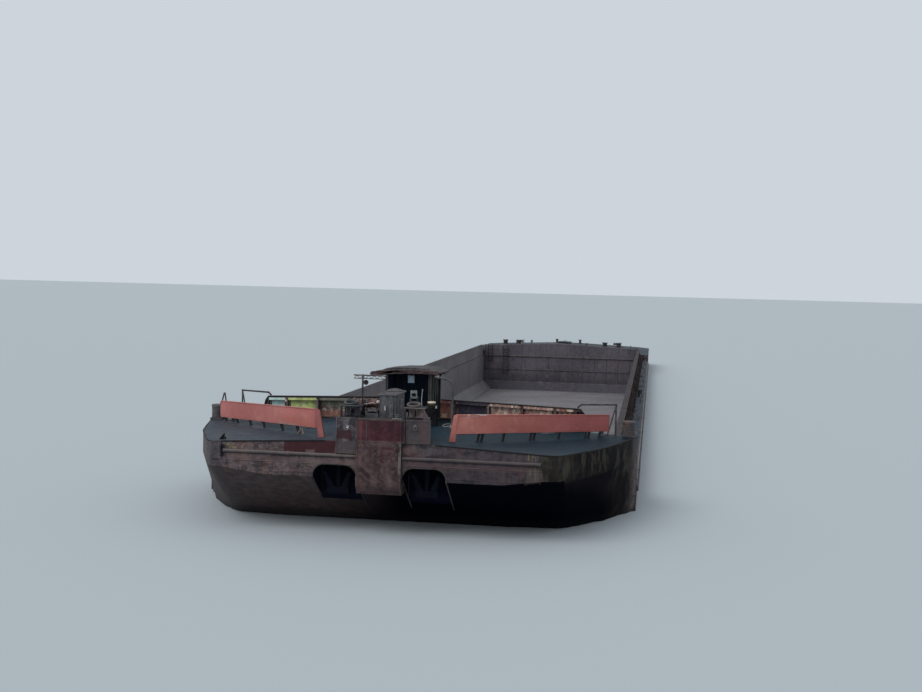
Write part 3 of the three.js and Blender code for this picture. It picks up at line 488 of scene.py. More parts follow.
def fender_look():
    """The half-round bars: painted highlight on the top faces, painted shade on the lower faces, and painted
    shade towards port.
    """
    look = Look("fender_paint")
    state = look.layer(shades(88, 80, 80), rust=0.25, mottle=0.4)
    state.tint(look.ramp(look.facing[2], 0.3, 0.75), (122, 112, 108), 0.6)
    state.shade(look.ramp(look.y, 0, 1), (0.66, 0.66, 0.7))
    state.tint(look.ramp(look.facing[2], 0, -0.5), (34, 30, 34), 0.75)
    return look.finish(state, wear=0.2)


def shelter_look():
    """Dark paint, navy and shut off from the light inside."""
    look = Look("shelter_paint")
    state = look.layer([(44, 50, 54), (36, 40, 44), (56, 54, 48), (28, 32, 34)], rust=0.15, streak=0.8)
    inside = look.zone((4.6, 6.18), (-0.78, 0.66), (4, 8), ragged=0, soft=0.01)
    state.tint(inside, (38, 60, 84), 0.95)
    return look.finish(state, corner_shade=0.2)


def board_look():
    """Breakwater boards: brick red, brighter inboard, and orange where rust comes through low down."""
    look = Look("board_paint")
    state = look.layer([(184, 112, 106), (172, 98, 92), (190, 122, 112), (166, 104, 98)], rust=0,
        streak=0.4, rough=(0.45, 0.65), mottle=0.12)
    state.tint(look.ramp(look.y, 2.4, 6.6), (122, 50, 54), 0.75)
    orange = look.zone((0.5, 2.6), (-3.8, -2), (5.3, 5.75), ragged=0.4, soft=0.3)
    state.tint(orange, (190, 104, 82), 0.5)
    scratch = look.noise(9, 3, 0.6, stretch=(1, 0.25, 3))
    state.tint(look.ramp(scratch, 0.66, 0.72), (206, 160, 150), 0.5)
    state.shade(look.ramp(look.y, 0, 2), (1.33, 1.38, 1.28))
    brace = look.zone((0.5, 1.03), (-2.3, -1.8), (5, 6.2), ragged=0, soft=0.02)
    state.shade(brace, (0.74, 0.74, 0.8))
    pale = look.zone((0.5, 3), (-4, -2.3), (5.3, 5.52), ragged=0.2, soft=0.1)
    state.tint(pale, (168, 138, 132), 0.5)
    lit = look.zone((0.5, 3.4), (-4.4, -2.3), (5.5, 6.2), ragged=0.3, soft=0.3)
    state.shade(lit, (1.16, 1.2, 1.18))
    chips = look.both(look.zone((1.2, 2), (2.4, 3.1), (5.98, 6.2), ragged=0),
        look.ramp(scratch, 0.5, 0.56))
    state.tint(chips, (216, 206, 196), 0.9)
    return look.finish(state, wear=0.5, wear_tone=(110, 66, 62), corner_shade=0.5)


def coaming_look():
    """Peeling paint and rust on the coamings; towards the hold they are as bare as its walls."""
    look = Look("coaming_paint")
    rusty = look.layer([(92, 78, 78), (76, 62, 62), (108, 84, 76), (126, 112, 106)], rust=0.4, streak=0.6,
        rusts=((64, 46, 46), (108, 78, 66)), mottle=0.6)
    bare = look.layer(HOLD, rust=0.1, streak=0.4, mottle=0.25)
    bare.shade(look.ramp(look.y, 4, 5), (0.42, 0.42, 0.46))
    inward = look.both(look.facing[1], look.math("SIGN", look.y))
    inward = look.both(look.ramp(inward, -0.5, -0.8), look.ramp(look.station, 6.6, 6.8))
    side = look.ramp(look.station, 6.55, 6.7)
    rusty.shade(look.both(look.ramp(look.facing[2], 0.6, 0.8), side), (0.42, 0.44, 0.5))
    rusty.shade(side, (0.72, 0.7, 0.72))
    rusty.over(inward, bare)
    return look.finish(rusty, wear=0.4, wear_tone=(96, 84, 84))


def bay_look():
    """Rusty plating between the forward coaming's stiffeners, each bay with its own paint left on it."""
    look = Look("bay_plating")
    rusty = look.layer([(120, 96, 90), (84, 56, 52), (150, 118, 96), (170, 160, 140)], rust=0.3,
        streak=0.7, mottle=0.8)
    flecks = look.noise(7, 5, 0.72)
    rusty.tint(look.ramp(flecks, 0.55, 0.63), (178, 170, 142), 0.75)
    rusty.tint(look.ramp(flecks, 0.46, 0.38), (46, 34, 36), 0.8)
    marks = (
        # ys, zs, ragged, colour, strength
        ((0, 1.3), (5, 6.2), 0.4, (116, 66, 58), 0.6),
        ((0.74, 1.04), (5.24, 5.56), 0.12, (156, 136, 112), 0.85),
        ((1.3, 2.45), (5, 6.2), 0.3, (38, 36, 48), 0.92),
        ((2.45, 3.6), (5, 6.2), 0.6, (134, 100, 94), 0.5),
        ((3.6, 4.78), (5, 6.2), 0.5, (140, 100, 92), 0.5),
        ((4.78, 5.6), (5, 6.2), 0.3, (96, 52, 50), 0.8),
        ((-3.6, -2.4), (5, 5.5), 0.5, (122, 66, 54), 0.65),
        ((-3.6, -2.4), (5.55, 6.1), 0.5, (104, 108, 88), 0.6),
    )
    for ys, zs, ragged, colour, strength in marks:
        rusty.tint(look.zone((6, 7), ys, zs, ragged=ragged, soft=0.1), colour, strength)
    # Painted light: forward-facing faces are lifted 2.5 times against the shade under the cap bar, and the
    # starboard bays are darkened again
    rusty.shade(look.ramp(look.facing[0], 0.3, 0.6), (2.5, 2.5, 2.6))
    rusty.shade(look.ramp(look.y, -1, -1.2), (0.55, 0.58, 0.62))
    cream = look.noise(5, 4, 0.7, stretch=(1, 1.6, 0.7))
    high = look.both(look.ramp(look.y, 2.45, 2.55), look.ramp(look.z, 5.5, 5.62))
    rusty.tint(look.both(high, look.ramp(cream, 0.5, 0.56)), (255, 244, 214), 0.7)
    return look.finish(rusty, corner_shade=0)


def bulkhead_look():
    """The hold's aft wall, darker than its sides."""
    look = Look("bulkhead_steel")
    state = look.layer([(102, 96, 104), (88, 82, 90), (108, 98, 100), (78, 74, 80)], rust=0.2, streak=0.5,
        rusts=((60, 48, 50), (98, 82, 78)), mottle=0.3)
    low = look.ramp(look.math("MULTIPLY_ADD", look.patch, 1.2, look.z), 3.4, 1.6)
    state.tint(low, (40, 40, 48), 0.5)
    return look.finish(state)


# Finishes with nothing particular to one place
PLAIN = (
    # name, slot, tone or four tones, rust, mottle, painted corner shade, wear, other settings
    ("deck_paint", "deck_paint", DECK, 0.2, 0.45, 0.7, 0.5, {"streak": 0.1}),
    ("hold_steel", "hold_steel", HOLD, 0.25, 0.45, 0.7, 0.5, {"streak": 0.5}),
    ("grey_paint", "grey_paint", (98, 100, 104), 0.3, 0.5, 0.7, 0.5),
    ("black_paint", "black_paint", [(56, 56, 60), (46, 46, 50), (74, 62, 58), (80, 74, 70)], 0.2, 0.45,
     0.7, 0.5),
    ("bollard_paint", "black_paint", (90, 84, 86), 0.35, 0.5, 0.7, 0.2),
    ("bare_steel", "bare_steel", [(124, 106, 102), (108, 88, 86), (132, 96, 86), (92, 78, 74)], 0.3, 0.45,
     0.7, 0.5, {"metallic": 0.3, "rough": (0.4, 0.7)}),
    ("roof_paint", "roof_paint", [(80, 78, 80), (62, 58, 60), (92, 76, 74), (56, 52, 54)], 0.35, 0.95,
     0.7, 0.5),
    ("roof_lip", "roof_paint", (98, 80, 84), 0.2, 0.6, 0.7, 0.5),
    ("dark_steel", "black_paint", (46, 44, 47), 0.3, 0.45, 0.7, 0.5),
    ("ladder_steel", "black_paint", (40, 35, 40), 0.05, 0.45, 0.7, 0.1),
    ("frame_black", "black_paint", (38, 38, 43), 0.15, 0.45, 0.7, 0.15),
    ("edge_black", "black_paint", (22, 22, 26), 0.05, 0.45, 0.7, 0),
    ("brown_steel", "hull_paint", (58, 49, 50), 0.3, 0.5, 0.7, 0.2),
    ("dark_frame", "grey_paint", (44, 48, 50), 0.2, 0.45, 0.7, 0.5),
    # Anchors and chains: black paint, deepened to a navy near-black as painted shade inside the niches
    ("anchor_paint", "black_paint", (10, 14, 26), 0, 0.5, 0.3, 0, {"specular": 0.08}),
    # Painted shade: starboard fairlead rollers, a darker copy of the port rollers' finish
    ("roller_dark", "bare_steel", (84, 80, 92), 0.1, 0.45, 0.4, 0.5),
    ("worn_pink", "black_paint", (98, 88, 94), 0.2, 0.45, 0.7, 0.2),
    ("olive_paint", "grey_paint", (84, 78, 52), 0.1, 0.45, 0.7, 0.5),
    ("casing_paint", "grey_paint", (96, 97, 101), 0.25, 0.6, 0.7, 0.5),
    ("lid_paint", "grey_paint", (94, 92, 96), 0.3, 0.6, 0.7, 0.5),
    ("rim_steel", "grey_paint", (112, 112, 112), 0.35, 0.45, 0.7, 0.5),
    ("worn_steel", "black_paint", (78, 82, 88), 0.2, 0.6, 0.7, 0.5),
    ("post_paint", "black_paint", (96, 90, 92), 0.3, 0.5, 0.7, 0.5),
    ("pale_paint", "grey_paint", (150, 148, 142), 0.1, 0.45, 0.7, 0.5),
    ("white_paint", "grey_paint", (226, 224, 216), 0, 0.1, 0.2, 0.5),
    ("cream_paint", "grey_paint", (236, 216, 206), 0, 0.2, 0.2, 0.5),
    ("drum_paint", "bare_steel", (118, 88, 84), 0.35, 0.8, 0.7, 0.5),
    ("desk_paint", "grey_paint", (160, 172, 168), 0, 0.45, 0.2, 0.5),
    ("rust_steel", "bare_steel", (88, 66, 62), 0.6, 0.45, 0.7, 0.5),
    # Painted highlight: the near-white cream of the lamp bowl
    ("lamp_cream", "grey_paint", (246, 236, 206), 0, 0, 0, 0, {"rough": (0.3, 0.45)}),
    ("blue_panel", "grey_paint", (170, 188, 206), 0, 0.1, 0, 0.5),
    ("green_steel", "grey_paint", (92, 106, 98), 0.1, 0.45, 0.7, 0.5),
    # Painted light: the teal and green panels' tones are lifted far above their paint, against the shade
    # under the cap bar
    ("teal_panel", "coaming_paint", [(232, 255, 250), (214, 250, 242), (248, 250, 228),
     (206, 214, 198)], 0.15, 0.3, 0, 0.5),
    ("green_panel", "coaming_paint", [(206, 226, 134), (220, 234, 152), (176, 198, 116),
     (234, 238, 190)], 0.2, 0.5, 0, 0.5),
    ("bay_frames", "coaming_paint", (118, 84, 80), 0.4, 0.5, 0.7, 0.5),
    ("cap_steel", "black_paint", (34, 30, 34), 0.2, 0.45, 0.7, 0.1),
    ("box_brown", "grey_paint", (92, 84, 88), 0.3, 0.5, 0.7, 0.5),
    # Painted light: port fairlead rollers, rose-grey and lifted brighter than the starboard copy
    ("roller_rose", "bare_steel", (148, 128, 128), 0.3, 0.5, 0.4, 0.5),
    ("wood_pale", "deck_paint", (132, 116, 106), 0, 0.4, 0.7, 0.5),
)
looks = {"hull_paint": hull_look(), "column_paint": column_look(), "flank_paint": flank_look(),
    "shelter_paint": shelter_look(), "board_paint": board_look(), "coaming_paint": coaming_look(),
    "fender_paint": fender_look(), "bay_plating": bay_look(), "bulkhead_steel": bulkhead_look()}
SLOT_OF_LOOK = {name: name for name in looks}
SLOT_OF_LOOK.update(flank_paint="hull_paint", fender_paint="grey_paint", bay_plating="coaming_paint",
    bulkhead_steel="hold_steel")
for name, slot, tones, rust, mottle, corner_shade, wear, *other in PLAIN:
    looks[name] = plain_look(name, tones, rust, mottle, corner_shade, wear, **(other[0] if other else {}))
    SLOT_OF_LOOK[name] = slot

# Rounded edges and smooth round faces, for nodes and pieces alike
CREASE = math.radians(32)


def smoothing_group():
    """Joins the loose triangles of a CAD mesh, and shades its round faces smooth."""
    group = bpy.data.node_groups.new("smooth_faces", "GeometryNodeTree")
    group.interface.new_socket("Geometry", in_out="INPUT", socket_type="NodeSocketGeometry")
    group.interface.new_socket("Geometry", in_out="OUTPUT", socket_type="NodeSocketGeometry")
    nodes, links = group.nodes, group.links
    start, end = nodes.new("NodeGroupInput"), nodes.new("NodeGroupOutput")
    merge = nodes.new("GeometryNodeMergeByDistance")
    merge.inputs["Distance"].default_value = 1e-5
    forget = nodes.new("GeometryNodeRemoveAttribute")
    forget.inputs["Name"].default_value = "custom_normal"
    faces, edges = nodes.new("GeometryNodeSetShadeSmooth"), nodes.new("GeometryNodeSetShadeSmooth")
    edges.domain = "EDGE"
    angle = nodes.new("GeometryNodeInputMeshEdgeAngle")
    round_edge = nodes.new("FunctionNodeCompare")
    round_edge.operation = "LESS_THAN"
    round_edge.inputs[1].default_value = CREASE
    links.new(angle.outputs["Unsigned Angle"], round_edge.inputs[0])
    links.new(round_edge.outputs[0], edges.inputs["Shade Smooth"])
    for first, second in ((start, forget), (forget, merge), (merge, faces), (faces, edges), (edges, end)):
        links.new(first.outputs[0], second.inputs[0])
    return group


SMOOTHING = smoothing_group()


def soften(item, width):
    """Rounds the sharp edges of a node or piece by a real width in metres."""
    item.modifiers.new("smooth", "NODES").node_group = SMOOTHING
    if not width:
        return
    flat = item.modifiers.new("flat", "DECIMATE")
    flat.decimate_type = "DISSOLVE"
    flat.angle_limit = math.radians(0.5)
    bevel = item.modifiers.new("edges", "BEVEL")
    bevel.width = width * SCALE
    bevel.segments = 2
    bevel.limit_method = "ANGLE"
    bevel.angle_limit = CREASE
    bevel.harden_normals = True


# Node names without their side: width of the rounded edges, and finishes other than the slot's own
EDGE_WIDTHS = {"hull_bow": 0.03, "hull_stern": 0.03, "push_column_bow": 0.02, "push_column_stern": 0.02,
    "windlass_platform": 0.02, "column_flank": 0.012, "windlass_casing": 0.01,
    "windlass_casing_lid": 0.01}
NODE_LOOKS = {"column_flank": "flank_paint", "shelter_walls": "shelter_paint",
    "bulkhead_aft": "bulkhead_steel", "hold_slope_aft": "bulkhead_steel", "fender_bar": "fender_paint",
    "anchor": "anchor_paint", "hold_ladder": "ladder_steel", "corner_ladder": "ladder_steel",
    "windlass_casing": "casing_paint", "windlass_casing_lid": "lid_paint", "bollard_bow": "bollard_paint"}
slot_of = {entry["node"]: entry["material_slot"] for entry in frame["record"]["subparts"]}
for name, node in frame["nodes"].items():
    node.data.materials.clear()
    sideless = name.removesuffix("_starboard").removesuffix("_port")
    node.data.materials.append(looks[NODE_LOOKS.get(sideless, slot_of[name])])
    soften(node, EDGE_WIDTHS.get(sideless, 0))


def circle(count, radius=1):
    """Places round a circle, from the first axis to the second."""
    turns = [2 * math.pi * k / count for k in range(count)]
    return [(radius * math.cos(t), radius * math.sin(t)) for t in turns]


def about(middle, half):
    return middle - half, middle + half


def span(sign, first, last):
    """Both ends of a stretch to one side of the barge, in rising order."""
    return sorted((sign * first, sign * last))


class Shape:
    """Closed bodies in real metres, gathered into one piece."""

    def __init__(self):
        self.mesh = bmesh.new()

    def rings(self, rings, closed=False):
        """Skin over rings of places, capped at both ends unless it closes on itself."""
        rows = [[self.mesh.verts.new(at(*place)) for place in ring] for ring in rings]
        count = len(rows[0])
        after = rows[1:] + rows[:1] if closed else rows[1:]
        for low, high in zip(rows, after):
            for i in range(count):
                j = (i + 1) % count
                self.mesh.faces.new((low[i], low[j], high[j], high[i]))
        if not closed:
            self.mesh.faces.new(rows[0])
            self.mesh.faces.new(rows[-1])
        return self

    def box(self, stations, ys, zs):
        corners = ((0, 0), (1, 0), (1, 1), (0, 1))
        return self.rings([[(stations[i], ys[j], z) for i, j in corners] for z in zs])

    def flat(self, outline, offset):
        """Plate: an outline of places, and the offset to its other face."""
        other = [tuple(a + b for a, b in zip(place, offset)) for place in outline]
        return self.rings([outline, other])

    def bar(self, places, radius, sides=10, closed=False):
        """Round bar along a line of places."""
        path = [Vector(place) for place in places]
        count = len(path)
        aside = None
        rings = []
        for i, place in enumerate(path):
            before = path[i - 1] if i or closed else place
            after = path[(i + 1) % count] if i + 1 < count or closed else place
            ahead = (after - before).normalized()
            if aside is None:
                aside = ahead.orthogonal()
            aside = (aside - ahead * aside.dot(ahead)).normalized()
            across = ahead.cross(aside)
            rings.append([place + radius * (u * aside + v * across) for u, v in circle(sides)])
        return self.rings(rings, closed)

    def turned(self, centre, profile, axis="z", sides=24):
        """Body turned about an axis, through (radius, distance along the axis) rings."""
        s, y, z = centre
        rings = []
        for radius, along in profile:
            rings.append([{"z": (s + u, y + v, z + along), "y": (s + u, y + along, z + v),
                "s": (s + along, y + u, z + v)}[axis] for u, v in circle(sides, radius)])
        return self.rings(rings)

    def hoop(self, centre, radius, thick, axis="z", sides=24, bar_sides=8):
        """Ring of round bar."""
        s, y, z = centre
        places = [{"z": (s + u, y + v, z), "y": (s + u, y, z + v), "s": (s, y + u, z + v)}[axis]
            for u, v in circle(sides, radius)]
        return self.bar(places, thick, bar_sides, closed=True)

    def bolts(self, places, radius=0.022, height=0.025, axis="z"):
        for place in places:
            self.turned(place, [(radius, 0), (radius, height)], axis, sides=6)
        return self

    def done(self, name, look, edge=0, body="root", stands_for=(), slot=None):
        """Makes the piece, on a body, in place of the nodes it stands for; its slot is worked out but not
        set.
        """
        bmesh.ops.recalc_face_normals(self.mesh, faces=self.mesh.faces)
        data = bpy.data.meshes.new(name)
        self.mesh.to_mesh(data)
        self.mesh.free()
        data.materials.append(looks[look])
        piece = bpy.data.objects.new(name, data)
        bpy.context.scene.collection.objects.link(piece)
        soften(piece, edge)
        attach(piece, body)
        slot or SLOT_OF_LOOK[look]
        if stands_for:
            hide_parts(*stands_for)
        return piece


HALF_BEAM = 7.6
RAKE_END = 6.2
MAIN_DECK = 3.5
PLATFORM = 5.963
STAY_PITCH = 2.18
SIDES = (("starboard", -1), ("port", 1))


def fore_deck(y):
    return 5.1 + 0.049 * (5 - abs(y))


def aft_deck(y):
    return 3.95 + 0.042 * (HALF_BEAM - abs(y))


def lerp(pair, k):
    return pair[0] + (pair[1] - pair[0]) * k


# Breakwaters: a dented board with a rolled top edge on leaning brackets, and a braced inner end
BREAKWATERS = {
    "starboard": {"outer": (5.78, 7.02), "low": (5.5, 5.13), "high": (6.085, 5.7), "foot": (0.72, 1.98),
        "posts": (1.95, 2.7, 3.6, 4.29, 5, 5.65), "doubled": (), "lean": (-0.2, 0.14)},
    "port": {"outer": (5.67, 6.62), "low": (5.5, 5.22), "high": (6.085, 5.77), "foot": (1, 2.05),
        "posts": (1.64, 2.38, 3.21, 4.1, 4.97, 5.44), "doubled": (0, 2, 4), "lean": (-0.17, 0.04)},
}
BOARD_INNER = (0.92, 2.16)
BOARD_COLUMNS = 36
BOARD_ROWS = 6


def breakwater(name, sign, outer, low, high, foot, posts, doubled, lean):
    run = Vector((outer[0] - BOARD_INNER[0], sign * (outer[1] - BOARD_INNER[1]), 0))
    length = run.length
    run.normalize()
    front = Vector((-abs(run.y), sign * run.x, 0))

    def place(k, up, out=0):
        flat = Vector((BOARD_INNER[0], sign * BOARD_INNER[1], 0)) + run * (length * k) + front * out
        return Vector((flat.x, flat.y, lerp((lerp(low, k), lerp(high, k)), up)))

    def dent(k, up):
        spot = Vector((k * 7, up * 1.3, 4 + sign))
        return 0.022 * noise.noise(spot) + 0.008 * noise.noise(spot * 3.1)

    ups = [row / BOARD_ROWS for row in range(BOARD_ROWS + 1)]
    rings = []
    for column in range(BOARD_COLUMNS + 1):
        k = column / BOARD_COLUMNS
        face = [place(k, up, 0.012 + dent(k, up)) for up in ups]
        back = [place(k, up, -0.012 + dent(k, up)) for up in reversed(ups)]
        rings.append(face + back)
    board = Shape().rings(rings)
    ks = [column / BOARD_COLUMNS for column in range(BOARD_COLUMNS + 1)]
    for up, radius in ((0.985, 0.026), (0.015, 0.018)):
        board.bar([place(k, up, dent(k, up)) for k in ks], radius, sides=8)
    for end in (0, 1):
        board.bar([place(end, up, dent(end, up)) for up in ups], 0.02, sides=8)
    brace_low = [(foot[0] + a, sign * (foot[1] + b), fore_deck(foot[1]) - 0.02)
        for a, b in ((-0.05, -0.1), (0.05, -0.1), (0.05, 0.1), (-0.05, 0.1))]
    top = high[0] - 0.02
    brace_high = [(BOARD_INNER[0] + a, sign * (BOARD_INNER[1] + b), top)
        for a, b in ((-0.04, -0.06), (0.05, -0.06), (0.05, 0.07), (-0.04, 0.07))]
    board.rings([brace_low, brace_high])
    board.done(f"breakwater_{name}_board", "board_paint", 0.006, stands_for=[f"breakwater_{name}"])

    def strut(shape, station, aside):
        """Leg from the deck to the board's lower edge, with its upright behind the board."""
        k = (station - BOARD_INNER[0]) / (outer[0] - BOARD_INNER[0])
        head = place(k, 0) + run * aside
        ground = fore_deck(head.y) - 0.01
        upper = lerp((lerp(low, k), lerp(high, k)), 0.86)
        deep = front * 0.028
        behind = head - front * 0.06
        ahead = behind + Vector((lean[0], -sign * lean[1], 0))
        rings = []
        neck = 0.034 if doubled else 0.075
        for spot, z, wide in ((ahead, ground, 0.034), (behind, head.z + 0.02, neck), (behind, upper, 0.034)):
            half = run * wide
            corners = (spot - half - deep, spot + half - deep, spot + half + deep, spot - half + deep)
            rings.append([(corner.x, corner.y, z) for corner in corners])
        shape.rings(rings)
        shape.box(about(ahead.x, 0.07), about(ahead.y, 0.05), (ground - 0.02, ground + 0.025))

    brackets = Shape()
    for index, station in enumerate(posts):
        strut(brackets, station, 0)
        if index in doubled:
            strut(brackets, station, 0.15)
    brackets.done(f"breakwater_{name}_brackets", "edge_black", 0.004)


for name, sign in SIDES:
    breakwater(name, sign, **BREAKWATERS[name])

# Push column: a body with edge bars, a framed panel above the deck line, and weld strips
FACE, PROUD = -0.095, -0.12
COLUMN_TOP, COLUMN_FOOT, KNUCKLE, HEAD_FOOT = 5.98, 3.68, 4.13, 5.3
COLUMN_SIDE, HEAD_PORT = 0.69, 0.8

rake = (KNUCKLE - COLUMN_FOOT) / KNUCKLE * RAKE_END - 0.02
profile = [(FACE, COLUMN_FOOT + 0.25), (FACE, COLUMN_TOP), (-0.003, COLUMN_TOP), (-0.003, KNUCKLE - 0.01),
    (rake, COLUMN_FOOT), (FACE + 0.15, COLUMN_FOOT)]
shape = Shape().flat([(s, -COLUMN_SIDE, z) for s, z in profile], (0, 2 * COLUMN_SIDE, 0))
shape.box((FACE + 0.004, -0.003), (COLUMN_SIDE - 0.002, HEAD_PORT), (HEAD_FOOT, COLUMN_TOP - 0.002))
back = FACE + 0.02
uprights = (
    # y0, y1, z0, z1
    (-0.69, -0.655, 3.95, 5.98),
    (0.65, 0.69, 3.95, 5.29),
    (0.665, 0.69, 5.31, 5.93),
    (0.775, 0.8, 5.3, 5.98),
    (-0.38, -0.355, 5.34, 5.92),
)
for y0, y1, z0, z1 in uprights:
    shape.box((PROUD, back), (y0, y1), (z0, z1))
for z0, z1, proud in ((5.93, 5.975, 0.004), (5.275, 5.315, 0.01)):
    shape.box((PROUD + proud, back), (-0.66, 0.78), (z0, z1))
shape.done("push_column_bow_plated", "column_paint", 0.008, stands_for=["push_column_bow"])

# Bow plating: a lap strip under the fender bars, edge bar along the deck, rims round the anchor niches
DECK_EDGE = [(0, 1.7), (0, 3.4), (0, 4.95), (0.03, 5.2), (0.15, 5.38), (0.4, 5.54), (0.95, 5.78),
    (1.9, 6.2), (2.9, 6.6), (4.2, 6.98), (5.57, 7.35), (6.5, 7.6)]

edge = Shape()
lap = Shape()
rims = Shape()
for sign in (-1, 1):
    edge.bar([(s, sign * y, fore_deck(y) - 0.012) for s, y in DECK_EDGE], 0.022, sides=8)
    rise = 0.06 if sign > 0 else 0
    lap.box((-0.014, 0.01), span(sign, 0.71, 4.93), (4.535 + rise, 4.57 + rise))
    low, high = 0.7, 2.06
    corner, top, foot = 0.36, 4.54, 3
    quarter = [math.pi / 2 * k / 8 for k in range(9)]
    arch = [(0, sign * low, KNUCKLE)]
    arch += [(0, sign * (low + corner - corner * math.cos(t)), top - corner + corner * math.sin(t))
        for t in quarter]
    arch += [(0, sign * (high - corner + corner * math.sin(t)), top - corner + corner * math.cos(t))
        for t in quarter]
    arch.append((0, sign * high, KNUCKLE))
    arch = [(s, y, z) for s, y, z in arch if abs(y) > 0.715]
    rims.bar(arch, 0.022, sides=8)
    for y in (low, high):
        rims.bar([(0, sign * max(y, 0.72), 4.14), (1.65, sign * max(y, 0.72), 3.03)], 0.02, sides=8)
edge.done("bow_deck_edge_bar", "edge_black")
lap.done("bow_lap_strips", "hull_paint", 0.006)
rims.done("niche_rims", "brown_steel")

# Edge bars and a ring lug on each plate beside the column, and collars on the fender bars
bars = Shape()
lugs = Shape()
for sign, inner, outer, lug in ((-1, 0.7, 1.33, (-0.99, 5.72)), (1, 0.81, 1.56, (1.1, 5.8))):
    for y in (inner + 0.02, outer - 0.02):
        bars.box((-0.076, -0.05), span(sign, *about(y, 0.018)), (4.9 if sign < 0 else 5.28, 5.98))
    bars.box((-0.072, -0.05), span(sign, inner + 0.04, outer - 0.04), (5.94, 5.975))
    y, z = lug
    lugs.turned((-0.06, y, z), [(0.055, 0), (0.055, -0.01), (0.045, -0.016)], "s")
    lugs.flat([(-0.06, y - 0.035, z + 0.035), (-0.06, y + 0.035, z + 0.035),
        (-0.11, y + 0.015, z + 0.015), (-0.11, y - 0.015, z + 0.015)], (0, 0, -0.02))
    lugs.hoop((-0.096, y, z - 0.05), 0.055, 0.011, "s")
bars.done("flank_edge_bars", "flank_paint", 0.006)
lugs.done("flank_lugs", "rim_steel", 0.004)
spot = Shape().turned((-0.075, -0.97, 5.7), [(0.04, 0), (0.045, -0.01), (0.03, -0.02)], "s", 16)
spot.done("flank_lug_cap", "white_paint", 0.003)

collars = Shape()
collars.turned((0, -2.86, 4.805), [(0.06, 0), (0.078, 0.01), (0.078, 0.07), (0.06, 0.08)], "y")
for y in (-4.87, -0.745, 0.71, 4.83):
    collars.turned((0, y, 4.805), [(0.069, 0), (0.069, 0.035)], "y")
collars.done("fender_bar_collars", "fender_paint", 0.004)

# On the platform: edge bar with its brackets, a bolted plinth and two loose plates
z = 5.96
trim = Shape()
outline = [(0, -1.34), (0, 1.34), (1.02, 1.34), (1.02, 0.6), (2.1, 0.6), (2.1, -1.34)]
trim.bar([(s, y, z - 0.012) for s, y in outline], 0.02, sides=8, closed=True)
for y in (-1.1, -0.45, 0.5, 1.15):
    s = 1.02 if y > 0.6 else 2.1
    trim.flat([(s, y, z - 0.03), (s, y, 5.35), (s + 0.3, y, 5.33)], (0, 0.03, 0))
trim.done("platform_edge", "grey_paint")
plinth = Shape().box((0.13, 0.25), (0.42, 0.54), (z, 6.1))
plinth.box((0.12, 0.26), (0.41, 0.55), (6.095, 6.115))
plinth.box((0.3, 0.42), (-0.52, -0.12), (z, 6.09))
plinth.bolts([(0.15, 0.44, 6.11), (0.15, 0.52, 6.11), (0.23, 0.44, 6.11), (0.23, 0.52, 6.11)], 0.012,
    0.012)
plinth.bar([(0.36, -0.16, 6.08), (0.36, -0.16, 6.14), (0.4, -0.3, 6.16), (0.36, -0.48, 6.14),
    (0.36, -0.48, 6.08)], 0.014)
plinth.done("platform_plinth", "grey_paint", 0.006)
plate = Shape().flat([(0.05, 0.36, 5.975), (0.06, 0.64, 5.975), (0.14, 0.63, 5.985), (0.13, 0.35, 5.985)],
    (0, 0, 0.012))
plate.flat([(0.62, -0.56, 6.12), (0.62, -0.25, 6.13), (0.8, -0.25, 6.135), (0.8, -0.56, 6.125)],
    (0, 0, 0.012))
plate.done("platform_patches", "pale_paint", 0.003)

FAIRLEADS = {"starboard": {"middle": -0.93, "ring_y": -0.99, "rollers": (-0.81, -1.06)},
    "port": {"middle": 1.03, "ring_y": 0.95, "rollers": (0.9, 1.15)}}


